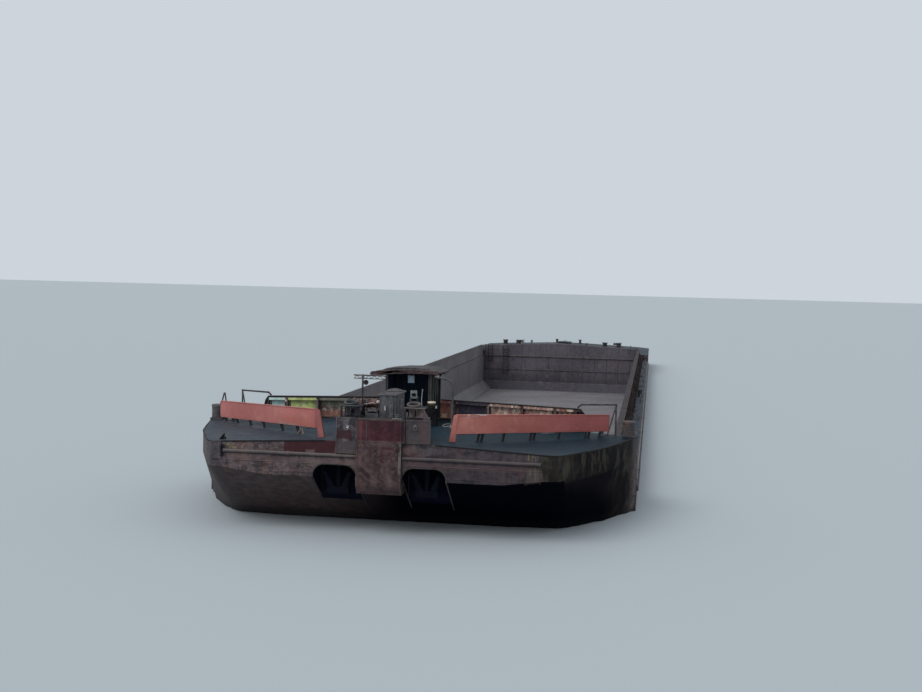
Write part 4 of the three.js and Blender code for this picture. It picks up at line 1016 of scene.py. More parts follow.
def fairlead(name, sign, middle, ring_y, rollers):
    """Frame with posts, gussets at its feet and a bolted top, a slanted guide ring, and its two turning
    rollers.
    """
    front, aft, centre, half, low, top = 0.1, 0.68, 0.39, 0.31, PLATFORM, 6.333
    posts = Shape()
    ys = (middle - half, middle + half)
    posts.box((front, aft), ys, (low, low + 0.03))
    posts.box((front - 0.01, aft + 0.01), (ys[0] - 0.01, ys[1] + 0.01), (top - 0.035, top))
    for y0, y1 in ((ys[0], ys[0] + 0.05), (ys[1] - 0.05, ys[1])):
        for station in (front, aft - 0.045):
            posts.box((station, station + 0.045), (y0, y1), (low, top))
    between = sum(rollers) / 2
    posts.box((front, front + 0.02), about(between, 0.022), (low, top))
    for y in (ys[0] + 0.01, ys[1] - 0.02):
        posts.flat([(front, y, low), (front + 0.16, y, low), (front, y, low + 0.2)], (0, 0.012, 0))
        posts.flat([(aft, y, low), (aft - 0.16, y, low), (aft, y, low + 0.2)], (0, 0.012, 0))
    for station in (front + 0.04, aft - 0.04):
        posts.bolts([(station, y, top) for y in (ys[0] + 0.05, ys[1] - 0.05)])
    posts.done(f"fairlead_{name}_frame", "frame_black", 0.005, stands_for=[f"fairlead_frame_{name}"])
    if sign > 0:
        side = Shape()
        side.flat([(front - 0.012, ys[1] - 0.03, top - 0.02), (front - 0.012, ys[1] + 0.17, low + 0.01),
            (front - 0.012, ys[1] - 0.03, low + 0.01)], (0.03, 0, 0))
        side.box((front + 0.003, front + 0.04), (ys[0] - 0.006, ys[0] + 0.03), (low, top))
        side.done("fairlead_port_stay", "worn_pink", 0.004)

    ring = Shape()
    rows = []
    for radius, rise in ((0.202, -0.03), (0.214, -0.012), (0.214, 0.006), (0.2, 0.018), (0.17, 0.014),
            (0.152, -0.004), (0.148, -0.05)):
        rows.append([(centre + u, ring_y + v, top + 0.085 + rise + 0.23 * u)
            for u, v in circle(32, radius)])
    rows.append([(s, y, top - 0.01) for s, y, z in rows[-1]])
    rows.append([(s, y, top - 0.01) for s, y, z in rows[0]])
    ring.rings(rows, closed=True)
    ring.box((front - 0.016, front + 0.03), (ys[0] - 0.014, ys[1] + 0.014), (top - 0.014, top + 0.005))
    ring.done(f"fairlead_{name}_ring", "worn_steel" if sign < 0 else "post_paint")

    for place, y in zip(("inner", "outer"), rollers):
        foot, head = low + 0.033, top - 0.038
        profile = [(0.03, 0), (0.03, 0.012), (0.098, 0.014), (0.098, 0.035), (0.09, 0.05), (0.087, 0.1),
            (0.086, 0.14), (0.087, 0.19), (0.09, 0.24), (0.098, 0.255), (0.098, 0.282), (0.03, 0.285),
            (0.03, head - foot)]
        roller = Shape().turned((centre, y, foot), profile, sides=28)
        roller.box(about(centre, 0.012), (y - 0.095, y - 0.07), (foot + 0.03, foot + 0.06))
        roller.done(f"fairlead_{name}_{place}", "roller_dark" if sign < 0 else "roller_rose", edge=0.003,
            body=f"roller_{name}_{place}", stands_for=[f"fairlead_roller_{name}_{place}"])


for name, sign in SIDES:
    fairlead(name, sign, **FAIRLEADS[name])

# Gearbox, motor, brake and levers beside the bed, and the turning drum with its gear wheel
at_s, z = 1.45, 6.26
drum = Shape()
profile = [(0.04, 0.103), (0.04, 0.155), (0.175, 0.16), (0.18, 0.17), (0.18, 0.2), (0.175, 0.21),
    (0.11, 0.215), (0.106, 0.3), (0.11, 0.455), (0.175, 0.46), (0.175, 0.51), (0.11, 0.515), (0.106, 0.7),
    (0.11, 0.9), (0.17, 0.905), (0.17, 0.95), (0.05, 0.955), (0.04, 1.017)]
drum.turned((at_s, -1.32, z), profile, "y", sides=36)
teeth, root, tip, wide, slim = 30, 0.165, 0.19, 0.012, 0.0072
for u, v in circle(teeth):
    corners = ((root, -wide), (root, wide), (tip, slim), (tip, -slim))
    drum.flat([(at_s + out * u - side * v, -0.415, z + out * v + side * u) for out, side in corners],
        (0, 0.045, 0))
for u, v in circle(6, 0.08):
    drum.turned((at_s + u, -1.168, z + v), [(0.018, 0), (0.018, 0.012)], "y", 8)
drum.done("windlass_drum_turned", "drum_paint", 0.003, body="drum", stands_for=["windlass_drum"])

box = Shape().box((0.72, 1.08), (-0.58, -0.26), (PLATFORM, 6.1))
box.box((0.69, 1.11), (-0.61, -0.24), (6.12, 6.15))
box.box((0.74, 1.06), (-0.56, -0.28), (6.098, 6.122))
box.bolts([(s, y, 6.15) for s in (0.73, 1.07) for y in (-0.57, -0.28)])
box.turned((0.72, -0.42, 6.03), [(0.05, 0), (0.05, -0.03), (0.035, -0.035)], "s", 16)
box.done("windlass_gearbox", "box_brown", 0.006)

motor = Shape()
motor.turned((0.9, -1.16, 6.13), [(0.07, 0), (0.085, 0.02), (0.085, 0.3), (0.075, 0.33), (0.03, 0.34)],
    "y", 20)
for k in range(12):
    motor.turned((0.9, -1.13 + 0.022 * k, 6.13), [(0.094, 0), (0.094, 0.007)], "y", 20)
motor.box((0.84, 0.96), (-1.1, -0.88), (PLATFORM, 6.08))
motor.done("windlass_motor", "rust_steel", 0.003)
caps = Shape().turned((1.3, -0.35, 6.3), [(0.03, 0), (0.06, 0.01), (0.07, 0.04), (0.055, 0.08),
    (0.02, 0.1)], sides=16)
caps.bar([(1.36, -0.35, 6.02), (1.3, -0.35, 6.31)], 0.014)
caps.bar([(1.14, -0.76, 6.27), (1.16, -0.62, 6.3), (1.18, -0.48, 6.33), (1.2, -0.42, 6.3)], 0.02)
caps.done("windlass_grips", "cream_paint", 0.003)

brake = Shape()
brake.hoop((at_s, -0.72, z), 0.13, 0.018, "y", 28)
brake.bar([(at_s - 0.13, -0.72, z), (at_s - 0.3, -0.72, z + 0.02), (at_s - 0.32, -0.72, z + 0.14)], 0.016)
brake.bar([(at_s + 0.13, -0.72, z), (at_s + 0.24, -0.72, z - 0.05), (at_s + 0.24, -0.72, 5.97)], 0.02)
brake.hoop((at_s - 0.32, -0.72, z + 0.16), 0.085, 0.011, "z", 20)
brake.bar([(at_s - 0.32, -0.805, z + 0.16), (at_s - 0.32, -0.635, z + 0.16)], 0.009)
brake.bar([(at_s - 0.405, -0.72, z + 0.16), (at_s - 0.235, -0.72, z + 0.16)], 0.009)
brake.bar([(1.85, -0.3, 5.965), (1.86, -0.3, 6.35), (1.82, -0.3, 6.42)], 0.014)
brake.bar([(1.85, -0.42, 5.965), (1.88, -0.42, 6.33), (1.86, -0.42, 6.4)], 0.014)
brake.done("windlass_brake", "rim_steel")

# Corner angles, hand-hold, louvres, conduit and hinges of the motor casing and its lid
front, aft, y0, y1, top = 0.3, 1.6, -0.07, 0.41, 6.66
trim = Shape()
for s in (front, aft):
    for y in (y0, y1):
        trim.box(about(s, 0.008), about(y, 0.008), (5.965, top - 0.01))
trim.box((front - 0.03, aft + 0.03), (y0 - 0.03, y1 + 0.03), (PLATFORM, 5.99))
for k in range(7):
    z = 6.2 + 0.045 * k
    trim.flat([(0.95, y1, z), (1.4, y1, z), (1.4, y1 + 0.022, z - 0.02), (0.95, y1 + 0.022, z - 0.02)],
        (0, 0, 0.008))
for s in (0.5, 1.4):
    trim.turned((s - 0.05, y1 + 0.035, top - 0.012), [(0.012, 0), (0.012, 0.1)], "s", 10)
    trim.box(about(s, 0.05), (y1 - 0.002, y1 + 0.008), (top - 0.09, top - 0.004))
trim.bar([(front - 0.02, 0.33, 5.97), (front - 0.02, 0.33, 6.45), (front - 0.02, 0.28, 6.5),
    (front, 0.28, 6.5)], 0.012)
trim.done("casing_trim", "casing_paint", 0.003)
hold = Shape().bar([(front, 0.09, 6.21), (front - 0.05, 0.09, 6.22), (front - 0.05, 0.09, 6.31),
    (front, 0.09, 6.32)], 0.013)
hold.box((front - 0.012, front + 0.004), (0.068, 0.112), (6.2, 6.33))
hold.done("casing_handhold", "white_paint")
lid = Shape()
for s in (0.5, 1.4):
    lid.box(about(s, 0.045), (0.31, 0.45), (6.7, 6.712))
lid.bar([(0.5, -0.02, 6.7), (0.5, -0.02, 6.75), (0.66, -0.02, 6.75), (0.66, -0.02, 6.7)], 0.011)
lid.bolts([(s, y, 6.7) for s in (0.3, 0.7, 1) for y in (-0.09, 0.42)], 0.014, 0.014)
lid.turned((0.95, -0.128, 6.68), [(0.018, -0.04), (0.018, 0.04)], "s", 8)
for u, v in circle(12):
    lid.bar([(1.3 + 0.23 * u, 0.17 + 0.23 * v, 6.744), (1.3 + 0.1 * u, 0.17 + 0.1 * v, 6.778)], 0.006,
        sides=6)
lid.turned((1.3, 0.17, 6.77), [(0.1, 0), (0.1, 0.012), (0.06, 0.022)], sides=20)
lid.done("casing_lid_fittings", "lid_paint", 0.003, body="casing_lid")


def roof_under(y, station=4.35):
    """Underside of the roof, which leans aft."""
    return 6.93 + 0.115 * (1 - ((y - 0.3) / 1.6) ** 2) - 0.035 * (station - 4.35)


# The roof's rolled edges and standing seams, and what stands inside the walls
front, rear, ROOF = 4.55, 6.22, (-1.29, 0.98)
WALLS = (-0.82, 0.7)
ys = [lerp(ROOF, k / 24) for k in range(25)]
lip = Shape()
fore, aft = front - 0.2, rear + 0.1
section = ((0.02, -0.025), (0, -0.012), (0, 0.1), (0.018, 0.12), (0.045, 0.118), (0.045, 0.01))
lip.rings([[(fore + ahead, y, roof_under(y) + rise) for ahead, rise in section] for y in ys])
for y in ROOF:
    lip.bar([(fore + 0.02, y, roof_under(y) + 0.05), (aft, y, roof_under(y, aft) + 0.05)], 0.05, sides=12)
lip.done("roof_edges", "roof_lip", 0.004)
seams = Shape()
for k in range(1, 6):
    s = lerp((fore, aft), k / 6)
    seams.rings([[(s - 0.018, y, roof_under(y, s) + 0.1), (s + 0.018, y, roof_under(y, s) + 0.1),
        (s + 0.012, y, roof_under(y, s) + 0.125), (s - 0.012, y, roof_under(y, s) + 0.125)]
        for y in ys[1:-1]])
for s in (fore + 0.35, fore + 0.95, fore + 1.5):
    seams.rings([[(s - 0.025, y, roof_under(y, s) - 0.05), (s + 0.025, y, roof_under(y, s) - 0.05),
        (s + 0.025, y, roof_under(y, s) + 0.004), (s - 0.025, y, roof_under(y, s) + 0.004)] for y in ys])
seams.done("roof_ribs", "roof_paint", 0.004)

cover = Shape()
rings = []
for k in range(25):
    y = lerp((-0.98, 0.84), k / 24)
    under = [(s, y, roof_under(y, s) + 0.1) for s in (fore + 0.03, fore + 0.6, fore + 1.2, aft)]
    swell = 0.07 * min(1, k / 3, (24 - k) / 4)
    over = [(s, y, min(z + 0.02 + swell + 0.012 * noise.noise(Vector((y * 4, s, 2))), 7.215))
        for s, y, z in reversed(under)]
    rings.append(under + over)
cover.rings(rings).done("roof_cover", "roof_paint", 0.008)

trim = Shape()
for y in WALLS:
    out = 0.012 if y > 0 else -0.012
    trim.box((front - 0.014, front + 0.05), sorted((y + out, y - 5.5 * out)),
        (fore_deck(y), roof_under(y) - 0.02))
    for k in range(1, 4):
        s = front + 0.42 * k
        trim.box(about(s, 0.014), sorted((y, y + 2.4 * out)),
            (fore_deck(y) + 0.01, roof_under(y, s) - 0.02))
    trim.box((rear - 0.03, rear + 0.02), sorted((y, y + 6 * out)),
        (fore_deck(y) + 0.01, roof_under(y, rear) - 0.02))
    trim.box((front, rear), sorted((y, y + 2.2 * out)), (fore_deck(y) - 0.01, fore_deck(y) + 0.06))
for y in (-0.5, -0.1, 0.3):
    trim.box((rear - 0.09, rear - 0.05), about(y, 0.02), (5.3, 6.93))
trim.done("shelter_frames", "dark_frame", 0.004)

panel = Shape().box((4.72, 4.745), (-0.1, 0.12), (6.68, 6.93))
panel.box((4.712, 4.722), (-0.08, 0.1), (6.7, 6.91))
for y in (-0.06, 0.08):
    panel.bar([(4.735, y, 6.92), (4.735, y, roof_under(y, 4.73) + 0.01)], 0.008, sides=8)
panel.done("shelter_panel", "blue_panel", 0.003)
desk = Shape()
for y in (0.02, 0.21):
    desk.box((4.7, 4.73), about(y, 0.018), (6.18, 6.34))
desk.box((4.695, 4.735), (0, 0.23), (6.33, 6.43))
desk.flat([(4.72, 0, 6.16), (4.72, 0.23, 6.16), (4.98, 0.23, 6.2), (4.98, 0, 6.2)], (0, 0, 0.02))
desk.done("shelter_desk", "desk_paint", 0.003)
legs = Shape()
for s, y in ((4.66, 0), (4.66, 0.24), (4.95, 0), (4.95, 0.24)):
    legs.bar([(s, y, fore_deck(y) - 0.01), (s, y, 6.17 + (0.02 if s > 4.8 else 0))], 0.014)
legs.bar([(4.66, 0, 5.8), (4.66, 0.24, 5.8), (4.95, 0.24, 5.8), (4.95, 0, 5.8)], 0.01, closed=True)
legs.done("shelter_desk_legs", "green_steel", 0.002)
stick = Shape().bar([(4.62, 0.45, 5.4), (4.62, 0.4, 6.15), (4.6, 0.43, 6.46)], 0.011)
stick.turned((4.6, 0.43, 6.45), [(0.011, 0), (0.018, 0.01), (0.018, 0.03), (0.008, 0.04)], sides=12)
stick.done("shelter_lever", "white_paint")

stand = Shape()
for y in (0.66, 0.96):
    for s in (4.25, 4.5):
        stand.bar([(s, y, fore_deck(y) - 0.01), (s, y, 5.97)], 0.018)
for s in (4.25, 4.5):
    stand.bar([(s, 0.66, 5.4), (s, 0.96, 5.9)], 0.012)
    stand.bar([(s, 0.96, 5.4), (s, 0.66, 5.9)], 0.012)
stand.box((4.22, 4.53), (0.63, 0.99), (5.96, 5.985))
stand.box((4.27, 4.48), (0.67, 0.94), (5.32, 5.9))
stand.done("lamp_stand", "edge_black", 0.004)
lamp = Shape().turned((4.37, 0.79, 6.055), [(0.13, 0), (0.142, 0.01), (0.142, 0.04), (0.11, 0.06),
    (0.04, 0.068)], sides=28)
lamp.done("lamp_bowl", "lamp_cream", 0.003)
base = Shape().turned((4.37, 0.79, 5.9), [(0.1, 0), (0.12, 0.01), (0.12, 0.15), (0.1, 0.165)], sides=28)
base.done("lamp_base", "olive_paint", 0.003)
glow = Shape().turned((4.2, 0.98, 5.9), [(0.018, 0), (0.024, 0.01), (0.024, 0.08), (0.012, 0.09)],
    sides=12)
glow.box((4.19, 4.23), (0.94, 0.98), (5.92, 5.94))
glow.done("lamp_switch", "white_paint", 0.003)

# Lattice arm from the signal post back to the shelter, and the vent pipe's clamp and flange
z = 7.19
arm = Shape()
arm.bar([(0.95, -1.05, z - 0.1), (0.95, -0.06, z - 0.1)], 0.012)
for k in range(6):
    y = -1.04 + 0.18 * k
    arm.bar([(0.95, y, z - 0.1), (0.95, y + 0.09, z - 0.01)], 0.009, sides=6)
    arm.bar([(0.95, y + 0.09, z - 0.01), (0.95, min(y + 0.18, -0.06), z - 0.1)], 0.009, sides=6)
arm.turned((0.95, -0.77, PLATFORM), [(0.11, 0), (0.11, 0.015), (0.045, 0.03), (0.035, 0.12)], sides=16)
arm.bolts([(0.95 + 0.08 * math.cos(t), -0.77 + 0.08 * math.sin(t), 5.978) for t in (0.8, 2.4, 3.9, 5.5)],
    0.014, 0.015)
arm.turned((0.9, -0.65, 6.98), [(0.055, 0.03), (0.075, 0), (0.08, -0.03), (0.065, -0.035), (0.03, -0.02)],
    "s", 20)
arm.bar([(0.95, -0.76, 6.99), (0.93, -0.65, 6.99), (0.91, -0.65, 6.98)], 0.014)
arm.done("signal_arm_lattice", "frame_black")
pipe = Shape().turned((4.3, 1.5, fore_deck(1.5)), [(0.09, 0), (0.09, 0.02), (0.05, 0.04), (0.045, 0.1)],
    sides=16)
pipe.hoop((4.3, 1.5, 6), 0.047, 0.008)
pipe.turned((4.3, 0.98, 6.945), [(0.05, 0), (0.055, 0.01), (0.055, 0.05)], "y", 16)
pipe.done("vent_pipe_flange", "pale_paint")

# Cap bars, bay frames and gussets on the front of the forward coaming
face = 6.4


def top(y):
    return 5.863 + 0.03 * (5.65 - abs(y))


cap = Shape()
cap.bar([(6.29, -5.57, 5.12), (6.28, -5.56, 5.6), (6.27, -5.52, 5.74), (6.27, -5.44, top(5.44)),
    (6.27, -3.3, top(3.3) + 0.005), (6.27, -1, top(1) + 0.005)], 0.04, sides=12)
cap.bar([(6.29, 5.86, 5.12), (6.28, 5.82, 5.5), (6.27, 5.75, 5.69), (6.27, 5.62, top(5.62) - 0.03)], 0.04,
    sides=12)
cap.done("coaming_cap_bar", "cap_steel")
flange = Shape()
corners = ((6.2, 0.8), (6.2, 5.6), (6.32, 5.6), (6.32, 0.8))
flange.flat([(s, y, top(y) - 0.012) for s, y in corners], (0, 0, 0.024))
flange.done("coaming_port_flange", "cap_steel", 0.006, slot="coaming_paint")

bays = Shape()
posts = (0.12, 1.27, 2.43, 3.62, 4.76, 5.46)
for sign in (-1, 1):
    for inner, outer in zip(posts, posts[1:]):
        low, high = fore_deck(outer) + 0.05, top(outer) - 0.08
        y0, y1 = inner + 0.09, outer - 0.09
        for y in (y0, y1):
            bays.box((face - 0.025, face + 0.01), span(sign, *about(y, 0.02)), (low, high))
        for z in (low, high):
            bays.box((face - 0.022, face + 0.01), span(sign, y0, y1), about(z, 0.018))
    for y in posts[1:]:
        ground = fore_deck(y)
        gusset = ((0.15, -0.01), (0.42, -0.01), (0.15, 0.32))
        bays.flat([(face - out, sign * y - 0.008, ground + rise) for out, rise in gusset], (0, 0.016, 0))
bays.done("coaming_bay_frames", "bay_frames", 0.004)
stripes = Shape()
for y in (2.46, -3.63):
    stripes.box((face - 0.262, face - 0.2), about(y, 0.02), (fore_deck(y) + 0.1, top(y) - 0.07))
stripes.done("coaming_post_edges", "pale_paint", 0.004, slot="coaming_paint")


def plate(y0, y1, low, high):
    """Bay plate with shallow dents, in front of the coaming's own plate."""
    rings = []
    for k in range(17):
        y = lerp((y0, y1), k / 16)
        ring = []
        for out, zs in ((-0.02, range(7)), (0.012, range(6, -1, -1))):
            for j in zs:
                z = lerp((low, high), j / 6)
                dent = 0.016 * noise.noise(Vector((y * 2.4, z * 2.8, 9)))
                ring.append((face + out + dent, y, z))
        rings.append(ring)
    return rings


bays_table = (
    # piece, look, y0, y1
    ("bay_teal", "teal_panel", -5.41, -4.82),
    ("bay_green", "green_panel", -4.7, -3.68),
    ("bay_starboard_middle", "bay_plating", -3.56, -2.5),
    ("bay_starboard_inner", "bay_plating", -2.37, -1.33),
    ("bay_port_inner", "bay_plating", 0.2, 1.22),
    ("bay_port_dark", "bay_plating", 1.33, 2.38),
    ("bay_port_middle", "bay_plating", 2.49, 3.57),
    ("bay_port_outer", "bay_plating", 3.68, 4.71),
    ("bay_port_end", "bay_plating", 4.82, 5.41),
)
for piece, look, y0, y1 in bays_table:
    far = max(abs(y0), abs(y1))
    sheet = Shape().rings(plate(y0, y1, fore_deck(min(abs(y0), abs(y1))) + 0.02, top(far) - 0.05))
    corners = ((y0, -0.115), (y1, -0.115), (y1, -0.03), (y0, -0.03))
    sheet.flat([(face - 0.172, y, top(y) + rise) for y, rise in corners], (0.02, 0, 0))
    sheet.done(piece, look)
dot = Shape().turned((face - 0.27, -4.76, top(4.76) - 0.13), [(0.04, 0), (0.045, -0.01), (0.02, -0.02)],
    "s", 14)
dot.done("coaming_lamp", "white_paint", slot="coaming_paint")


def mushroom(shape, s, y, z, radius, height):
    """Vent: a neck under a rounded cap."""
    place = (s, y, z)
    shape.turned(place, [(radius * 0.75, -0.01), (radius * 0.75, 0.02), (radius * 0.5, 0.03),
        (radius * 0.5, height * 0.66)])
    shape.turned(place, [(radius * 0.9, height * 0.6), (radius, height * 0.64),
        (radius * 0.98, height * 0.76), (radius * 0.7, height * 0.92), (radius * 0.25, height)])


def manhole(shape, s, y, z, long=0.3, wide=0.2):
    """Oval cover plate with its ring of nuts."""
    def oval(grow, rise):
        return [(s + (long + grow) * u, y + (wide + grow) * v, z + rise) for u, v in circle(28)]
    shape.rings([oval(0.06, -0.02), oval(0.06, 0.015), oval(0.05, 0.022)])
    shape.rings([oval(0, 0.01), oval(0, 0.035), oval(-0.01, 0.042)])
    nuts = [(s + (long - 0.045) * u, y + (wide - 0.045) * v, z + 0.038) for u, v in circle(12)]
    shape.bolts(nuts, 0.016, 0.02)


def cleat(shape, s, y, z):
    shape.box(about(s, 0.1), about(y, 0.05), (z - 0.01, z + 0.03))
    for side in (-1, 1):
        shape.turned((s + side * 0.06, y, z), [(0.03, 0), (0.026, 0.12)], sides=12)
    shape.bar([(s - 0.22, y, z + 0.15), (s - 0.12, y, z + 0.125), (s + 0.12, y, z + 0.125),
        (s + 0.22, y, z + 0.15)], 0.026)


def scatter(make, places, deck, *sizes):
    """The same fitting at several places of a deck."""
    shape = Shape()
    for s, y in places:
        make(shape, s, y, deck(y), *sizes)
    return shape


# On the foredeck: covers, hoop, cleats and corner bracket, timbers, vents, forked stanchion, rail pads
covers = scatter(manhole, ((3.4, -3), (3.2, 1.9), (5.3, 4.6), (5.4, -4.4)), fore_deck)
covers.done("foredeck_manholes", "deck_paint", 0.003)
loop = [(4.75 + 0.4 * u, 1.26 + 0.13 * v, fore_deck(1.26) + 0.014) for u, v in circle(28)]
hoop = Shape().bar(loop, 0.01, 8, closed=True)
hoop.done("foredeck_hoop", "white_paint")
small = scatter(cleat, ((5, -3.4), (5.2, 3), (3.4, -0.4)), fore_deck)
small.flat([(0.34, -5.14, 5.095), (0.42, -4.99, 5.1), (0.36, -4.95, 5.31), (0.34, -4.99, 5.28)],
    (0.03, -0.01, 0))
small.flat([(0.3, -5, 5.1), (0.46, -4.96, 5.1), (0.38, -4.96, 5.2)], (0, 0.02, 0))
small.done("foredeck_cleats", "dark_steel", 0.003)
timbers = Shape()
for y in (-3, -2.82):
    timbers.bar([(1.62, y, fore_deck(y) - 0.005), (1.74, -2.91, 5.42)], 0.02, sides=8)
timbers.done("foredeck_timbers", "wood_pale")
vents = scatter(mushroom, ((4.6, -3.4), (4.7, 3.1), (5.9, 6.4), (5.6, -6.5)), fore_deck, 0.11, 0.3)
vents.done("foredeck_vents", "grey_paint", 0.003)
fork = Shape()
fork.bar([(6.3, -6.97, 5), (6.36, -7.04, 5.6), (6.38, -7.09, 5.9)], 0.026)
fork.bar([(6.42, -7.34, 5), (6.4, -7.21, 5.6), (6.4, -7.13, 5.92)], 0.026)
fork.box((6.25, 6.46), (-7.4, -6.96), (4.985, 5.01))
fork.turned((6.39, -7.11, 5.9), [(0.02, -0.02), (0.035, 0), (0.035, 0.03), (0.015, 0.04)], sides=12)
fork.done("stanchion_fork", "dark_steel")
board = Shape().flat([(6.33, -7.38, 5.05), (6.33, -7.24, 5.62), (6.33, -7.19, 5.6), (6.33, -7.27, 5.03)],
    (0.02, 0, 0))
board.done("stanchion_shoe", "board_paint", 0.004)
pads = Shape()
for sign, outer in ((-1, 6.44), (1, 6.84)):
    for s, y in ((6.38, outer), (6.18, outer - 0.3)):
        z = fore_deck(y)
        pads.box(about(s, 0.07), span(sign, *about(y, 0.06)), (z - 0.01, z + 0.015))
pads.done("rail_foot_pads", "dark_steel", 0.003)

# Weld collars and domed tops on the single bow bollards
tops = Shape()
for sign in (-1, 1):
    z = fore_deck(7)
    place = (6.22, sign * 7.29, z)
    tops.turned(place, [(0.218, 0.02), (0.218, 0.05)], sides=32)
    tops.turned(place, [(0.206, 0.43), (0.224, 0.445), (0.224, 0.5), (0.21, 0.522), (0.12, 0.53)],
        sides=32)
    tops.bar([(6.22, sign * 6.98, z + 0.3), (6.22, sign * 7.28, z + 0.3)], 0.022)
    for k in range(4):
        t = math.pi / 4 + math.pi / 2 * k
        u, v = math.cos(t), math.sin(t)
        gusset = ((0.2, 0.01), (0.2, 0.12), (0.26, 0.01))
        tops.flat([(6.22 + r * u, sign * 7.29 + r * v, z + rise) for r, rise in gusset], (0.01, 0, 0))
tops.done("bow_bollard_tops", "bollard_paint", 0.004)


def bay(k):
    """Station halfway between two stays of the coaming."""
    return 10.02 + STAY_PITCH * k


# Along each side: edge bar, manholes, air pipes, service pipe, coaming joints and strake butts
for name, sign in SIDES:
    edge = Shape().bar([(6.55, sign * HALF_BEAM, MAIN_DECK - 0.012),
        (72.1, sign * HALF_BEAM, MAIN_DECK - 0.012)], 0.03, sides=8)
    edge.done(f"side_deck_edge_{name}", "rim_steel", slot="hull_paint")
    covers = Shape()
    for k in (1, 5, 9, 16, 20, 24):
        manhole(covers, bay(k), sign * 7.32, MAIN_DECK, 0.26, 0.15)
    covers.done(f"side_manholes_{name}", "deck_paint", 0.003)
    pipes = Shape()
    for k in (3, 7, 11, 18, 22, 26):
        s = bay(k)
        y = sign * 7.42
        pipes.bar([(s, y, MAIN_DECK - 0.01), (s, y, MAIN_DECK + 0.36), (s + 0.05, y, MAIN_DECK + 0.42),
            (s + 0.13, y, MAIN_DECK + 0.42), (s + 0.18, y, MAIN_DECK + 0.36),
            (s + 0.18, y, MAIN_DECK + 0.27)], 0.035)
        pipes.turned((s, y, MAIN_DECK), [(0.07, -0.01), (0.07, 0.02)], sides=16)
        pipes.turned((s + 1.2, y, MAIN_DECK), [(0.05, -0.01), (0.05, 0.05), (0.03, 0.07)], sides=12)
    pipes.done(f"side_air_pipes_{name}", "grey_paint")
    line = Shape()
    line.bar([(8, sign * 6.87, 3.95), (71.2, sign * 6.87, 3.95)], 0.028)
    for k in range(29):
        s = 9.6 + STAY_PITCH * k
        line.box((s, s + 0.06), span(sign, 6.8, 6.91), (3.9, 3.99))
    line.done(f"service_pipe_{name}", "grey_paint")
    top = Shape()
    for k in range(11):
        s = 9.3 + 6.1 * k
        top.box((s, s + 0.02), span(sign, 6.63, 6.91), (4.405, 4.42))
        top.box((s - 0.02, s + 0.04), span(sign, 6.89, 6.905), (4.33, 4.41))
    top.done(f"coaming_joints_{name}", "coaming_paint")
    side = Shape()
    for k in range(11):
        s = 10.2 + 6 * k
        side.box((s, s + 0.05), span(sign, HALF_BEAM, 7.679), (3.075, 3.285))
        side.flat([(s + 2, sign * HALF_BEAM, 3.42), (s + 2.35, sign * HALF_BEAM, 3.42),
            (s + 2.3, sign * 7.66, 3.32), (s + 2.05, sign * 7.66, 3.32)], (0, 0, -0.02))
    side.done(f"strake_butts_{name}", "hull_paint", 0.004)

# Stiffeners, stringer face and cap of the bulkhead, and the seams of the hold's walls
ribs = Shape()
for k in range(13):
    y = -6 + k
    if -5.1 < y < -4.3:
        continue
    ribs.box((71.955, 72.01), about(y, 0.03), (1.4, 3.5))
ribs.box((71.94, 72.02), (-6.58, 6.58), (2.35, 2.41))
ribs.done("bulkhead_ribs", "bulkhead_steel", 0.006)
cap = Shape()
for sign in (-1, 1):
    cap.bar([(72.06, 0, 4.688), (72.06, sign * 3.3, 4.55), (72.06, sign * 6.6, 4.412)], 0.055, sides=10)
cap.done("bulkhead_cap", "bulkhead_steel")
for name, sign in SIDES:
    walls = Shape()
    for k in range(33):
        walls.box((7.6 + 2 * k, 7.64 + 2 * k), span(sign, 6.612, 6.625), (1.33, 3.46))
    walls.box((6.6, 71.9), span(sign, 6.6, 6.625), (3.42, 3.5))
    walls.done(f"hold_wall_seams_{name}", "hold_steel")

# Shackle, chain links and hawse lip above each stowed anchor
chain = Shape()
for sign in (-1, 1):
    y = sign * 1.38
    chain.hoop((0.62, y, 4.28), 0.075, 0.02, "s", 20)
    for k, axis in enumerate(("y", "s", "y")):
        chain.hoop((0.62, y, 4.37 + 0.07 * k), 0.05, 0.016, axis, 16)
    chain.turned((0.62, y, 4.5), [(0.13, 0), (0.16, 0.02), (0.16, 0.04)], sides=24)
    for side in (-1, 1):
        chain.bar([(0.56, y + side * 0.3, 3.72), (0.4, y + side * 0.36, 4.05),
            (0.34, y + side * 0.4, 4.27)], 0.022)
chain.done("anchor_chains", "anchor_paint")

# Quarterdeck: edge bar, coupling winches, vents, covers and cleats; hatch dogs; stern plating strips
outline = [(72.2, 7.6), (76, 7.6), (83.1, 7.6), (84, 6.7), (84, 3.5), (84, 0.8)]
edge = Shape()
for sign in (-1, 1):
    edge.bar([(s, sign * y, aft_deck(y) - 0.012) for s, y in outline], 0.03, sides=8)
edge.done("stern_deck_edge_bar", "dark_steel")
covers = scatter(manhole, ((75.8, -2.6), (75.8, 2.6), (80.6, -5.2), (80.6, 5.2)), aft_deck)
covers.done("stern_manholes", "deck_paint", 0.003)
places = ((76.6, -6.6), (76.6, 6.6), (81.8, -3.4), (81.8, 3.4), (78.2, 2))
scatter(mushroom, places, aft_deck, 0.13, 0.36).done("stern_vents", "grey_paint", 0.003)
iron = scatter(cleat, ((77.5, -4.2), (77.5, 4.2), (83, -5.9), (83, 5.9)), aft_deck)
for y in (-1.1, 1.1):
    z = aft_deck(y)
    iron.turned((83.2, y, z), [(0.17, -0.01), (0.17, 0.02), (0.12, 0.04), (0.1, 0.12), (0.1, 0.25),
        (0.14, 0.31), (0.15, 0.34), (0.1, 0.36)])
iron.done("stern_cleats", "dark_steel", 0.003)
winches = Shape()
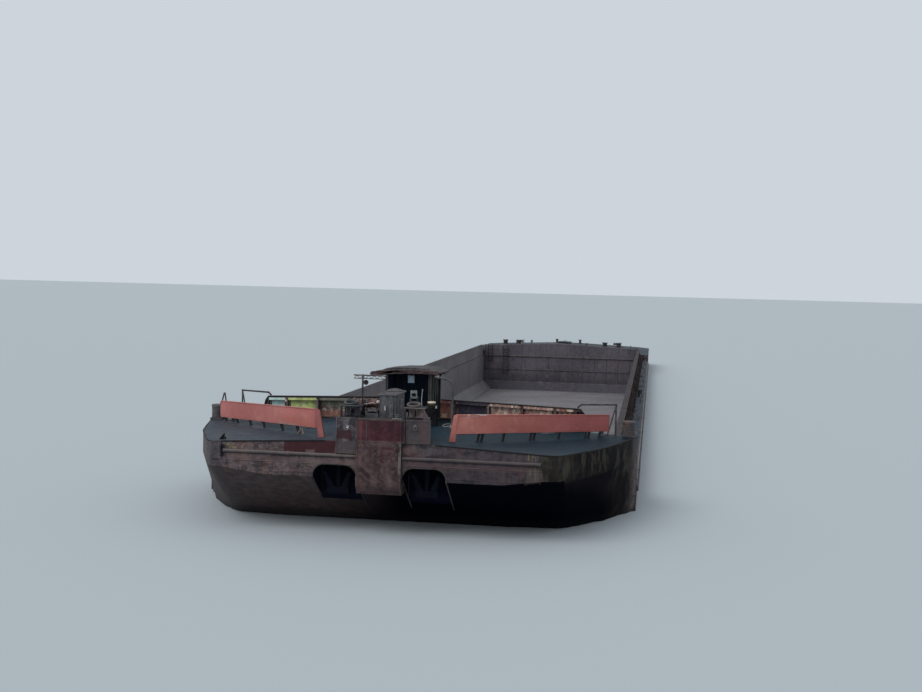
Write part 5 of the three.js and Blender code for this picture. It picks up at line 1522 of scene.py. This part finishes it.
for y in (-4.6, 4.6):
    z = aft_deck(y)
    winches.box((81.7, 82.5), about(y, 0.4), (z - 0.02, z + 0.04))
    for side in (-1, 1):
        winches.flat([(81.85, y + side * 0.3, z + 0.03), (82.35, y + side * 0.3, z + 0.03),
            (82.2, y + side * 0.3, z + 0.36), (82, y + side * 0.3, z + 0.36)], (0, 0.03, 0))
    winches.turned((82.1, y - 0.27, z + 0.26), [(0.17, 0), (0.17, 0.03), (0.1, 0.035), (0.1, 0.5),
        (0.17, 0.505), (0.17, 0.54)], "y")
    winches.hoop((82.1, y + 0.42, z + 0.26), 0.2, 0.016, "y", 28)
    for k in range(3):
        t = math.pi * k / 3
        winches.bar([(82.1 - 0.2 * math.cos(t), y + 0.42, z + 0.26 - 0.2 * math.sin(t)),
            (82.1 + 0.2 * math.cos(t), y + 0.42, z + 0.26 + 0.2 * math.sin(t))], 0.011)
    winches.bar([(82.1, y + 0.25, z + 0.26), (82.1, y + 0.44, z + 0.26)], 0.025)
winches.done("coupling_winches", "grey_paint", 0.003)

z = aft_deck(0) + 0.3
dogs = Shape()
for y in (-0.4, 0.4):
    dogs.turned((77.4, y - 0.06, z - 0.01), [(0.02, 0), (0.02, 0.12)], "y", 12)
    dogs.box((77.4, 77.46), about(y, 0.05), (z - 0.12, z - 0.02))
for y in (-0.58, 0.58):
    for s in (77.8, 78.2):
        dogs.bar([(s, y, z - 0.14), (s, y * 1.06, z - 0.02)], 0.014)
dogs.box((77.42, 78.58), (-0.58, 0.58), (aft_deck(0) - 0.02, aft_deck(0) + 0.02))
dogs.done("hatch_dogs", "dark_steel", 0.003)
lid = Shape()
lid.bar([(78.3, -0.16, z + 0.05), (78.3, -0.16, z + 0.11), (78.3, 0.16, z + 0.11),
    (78.3, 0.16, z + 0.05)], 0.016)
for y in (-0.3, 0.3):
    lid.box((77.48, 78.5), about(y, 0.02), (z + 0.05, z + 0.07))
lid.done("hatch_lid_grip", "dark_steel", 0.003, body="hatch_lid")

plates = Shape()
for y in (-6.4, -4.9, 4.9, 6.4):
    plates.box((83.99, 84.03), about(y, 0.04), (2.3, 3.85))
for k in range(6):
    z0 = 2.4 + 0.26 * k
    plates.bar([(84, 5.5, z0), (84.08, 5.5, z0), (84.08, 5.9, z0), (84, 5.9, z0)], 0.014)
for y in (-0.655, 0.655, -2.66, 2.66, -3.34, 3.34):
    plates.box((84, 84.12), about(y, 0.03), (2.02, 4.06))
plates.done("stern_plating_strips", "hull_paint", 0.005)

make_camera()
make_stage()
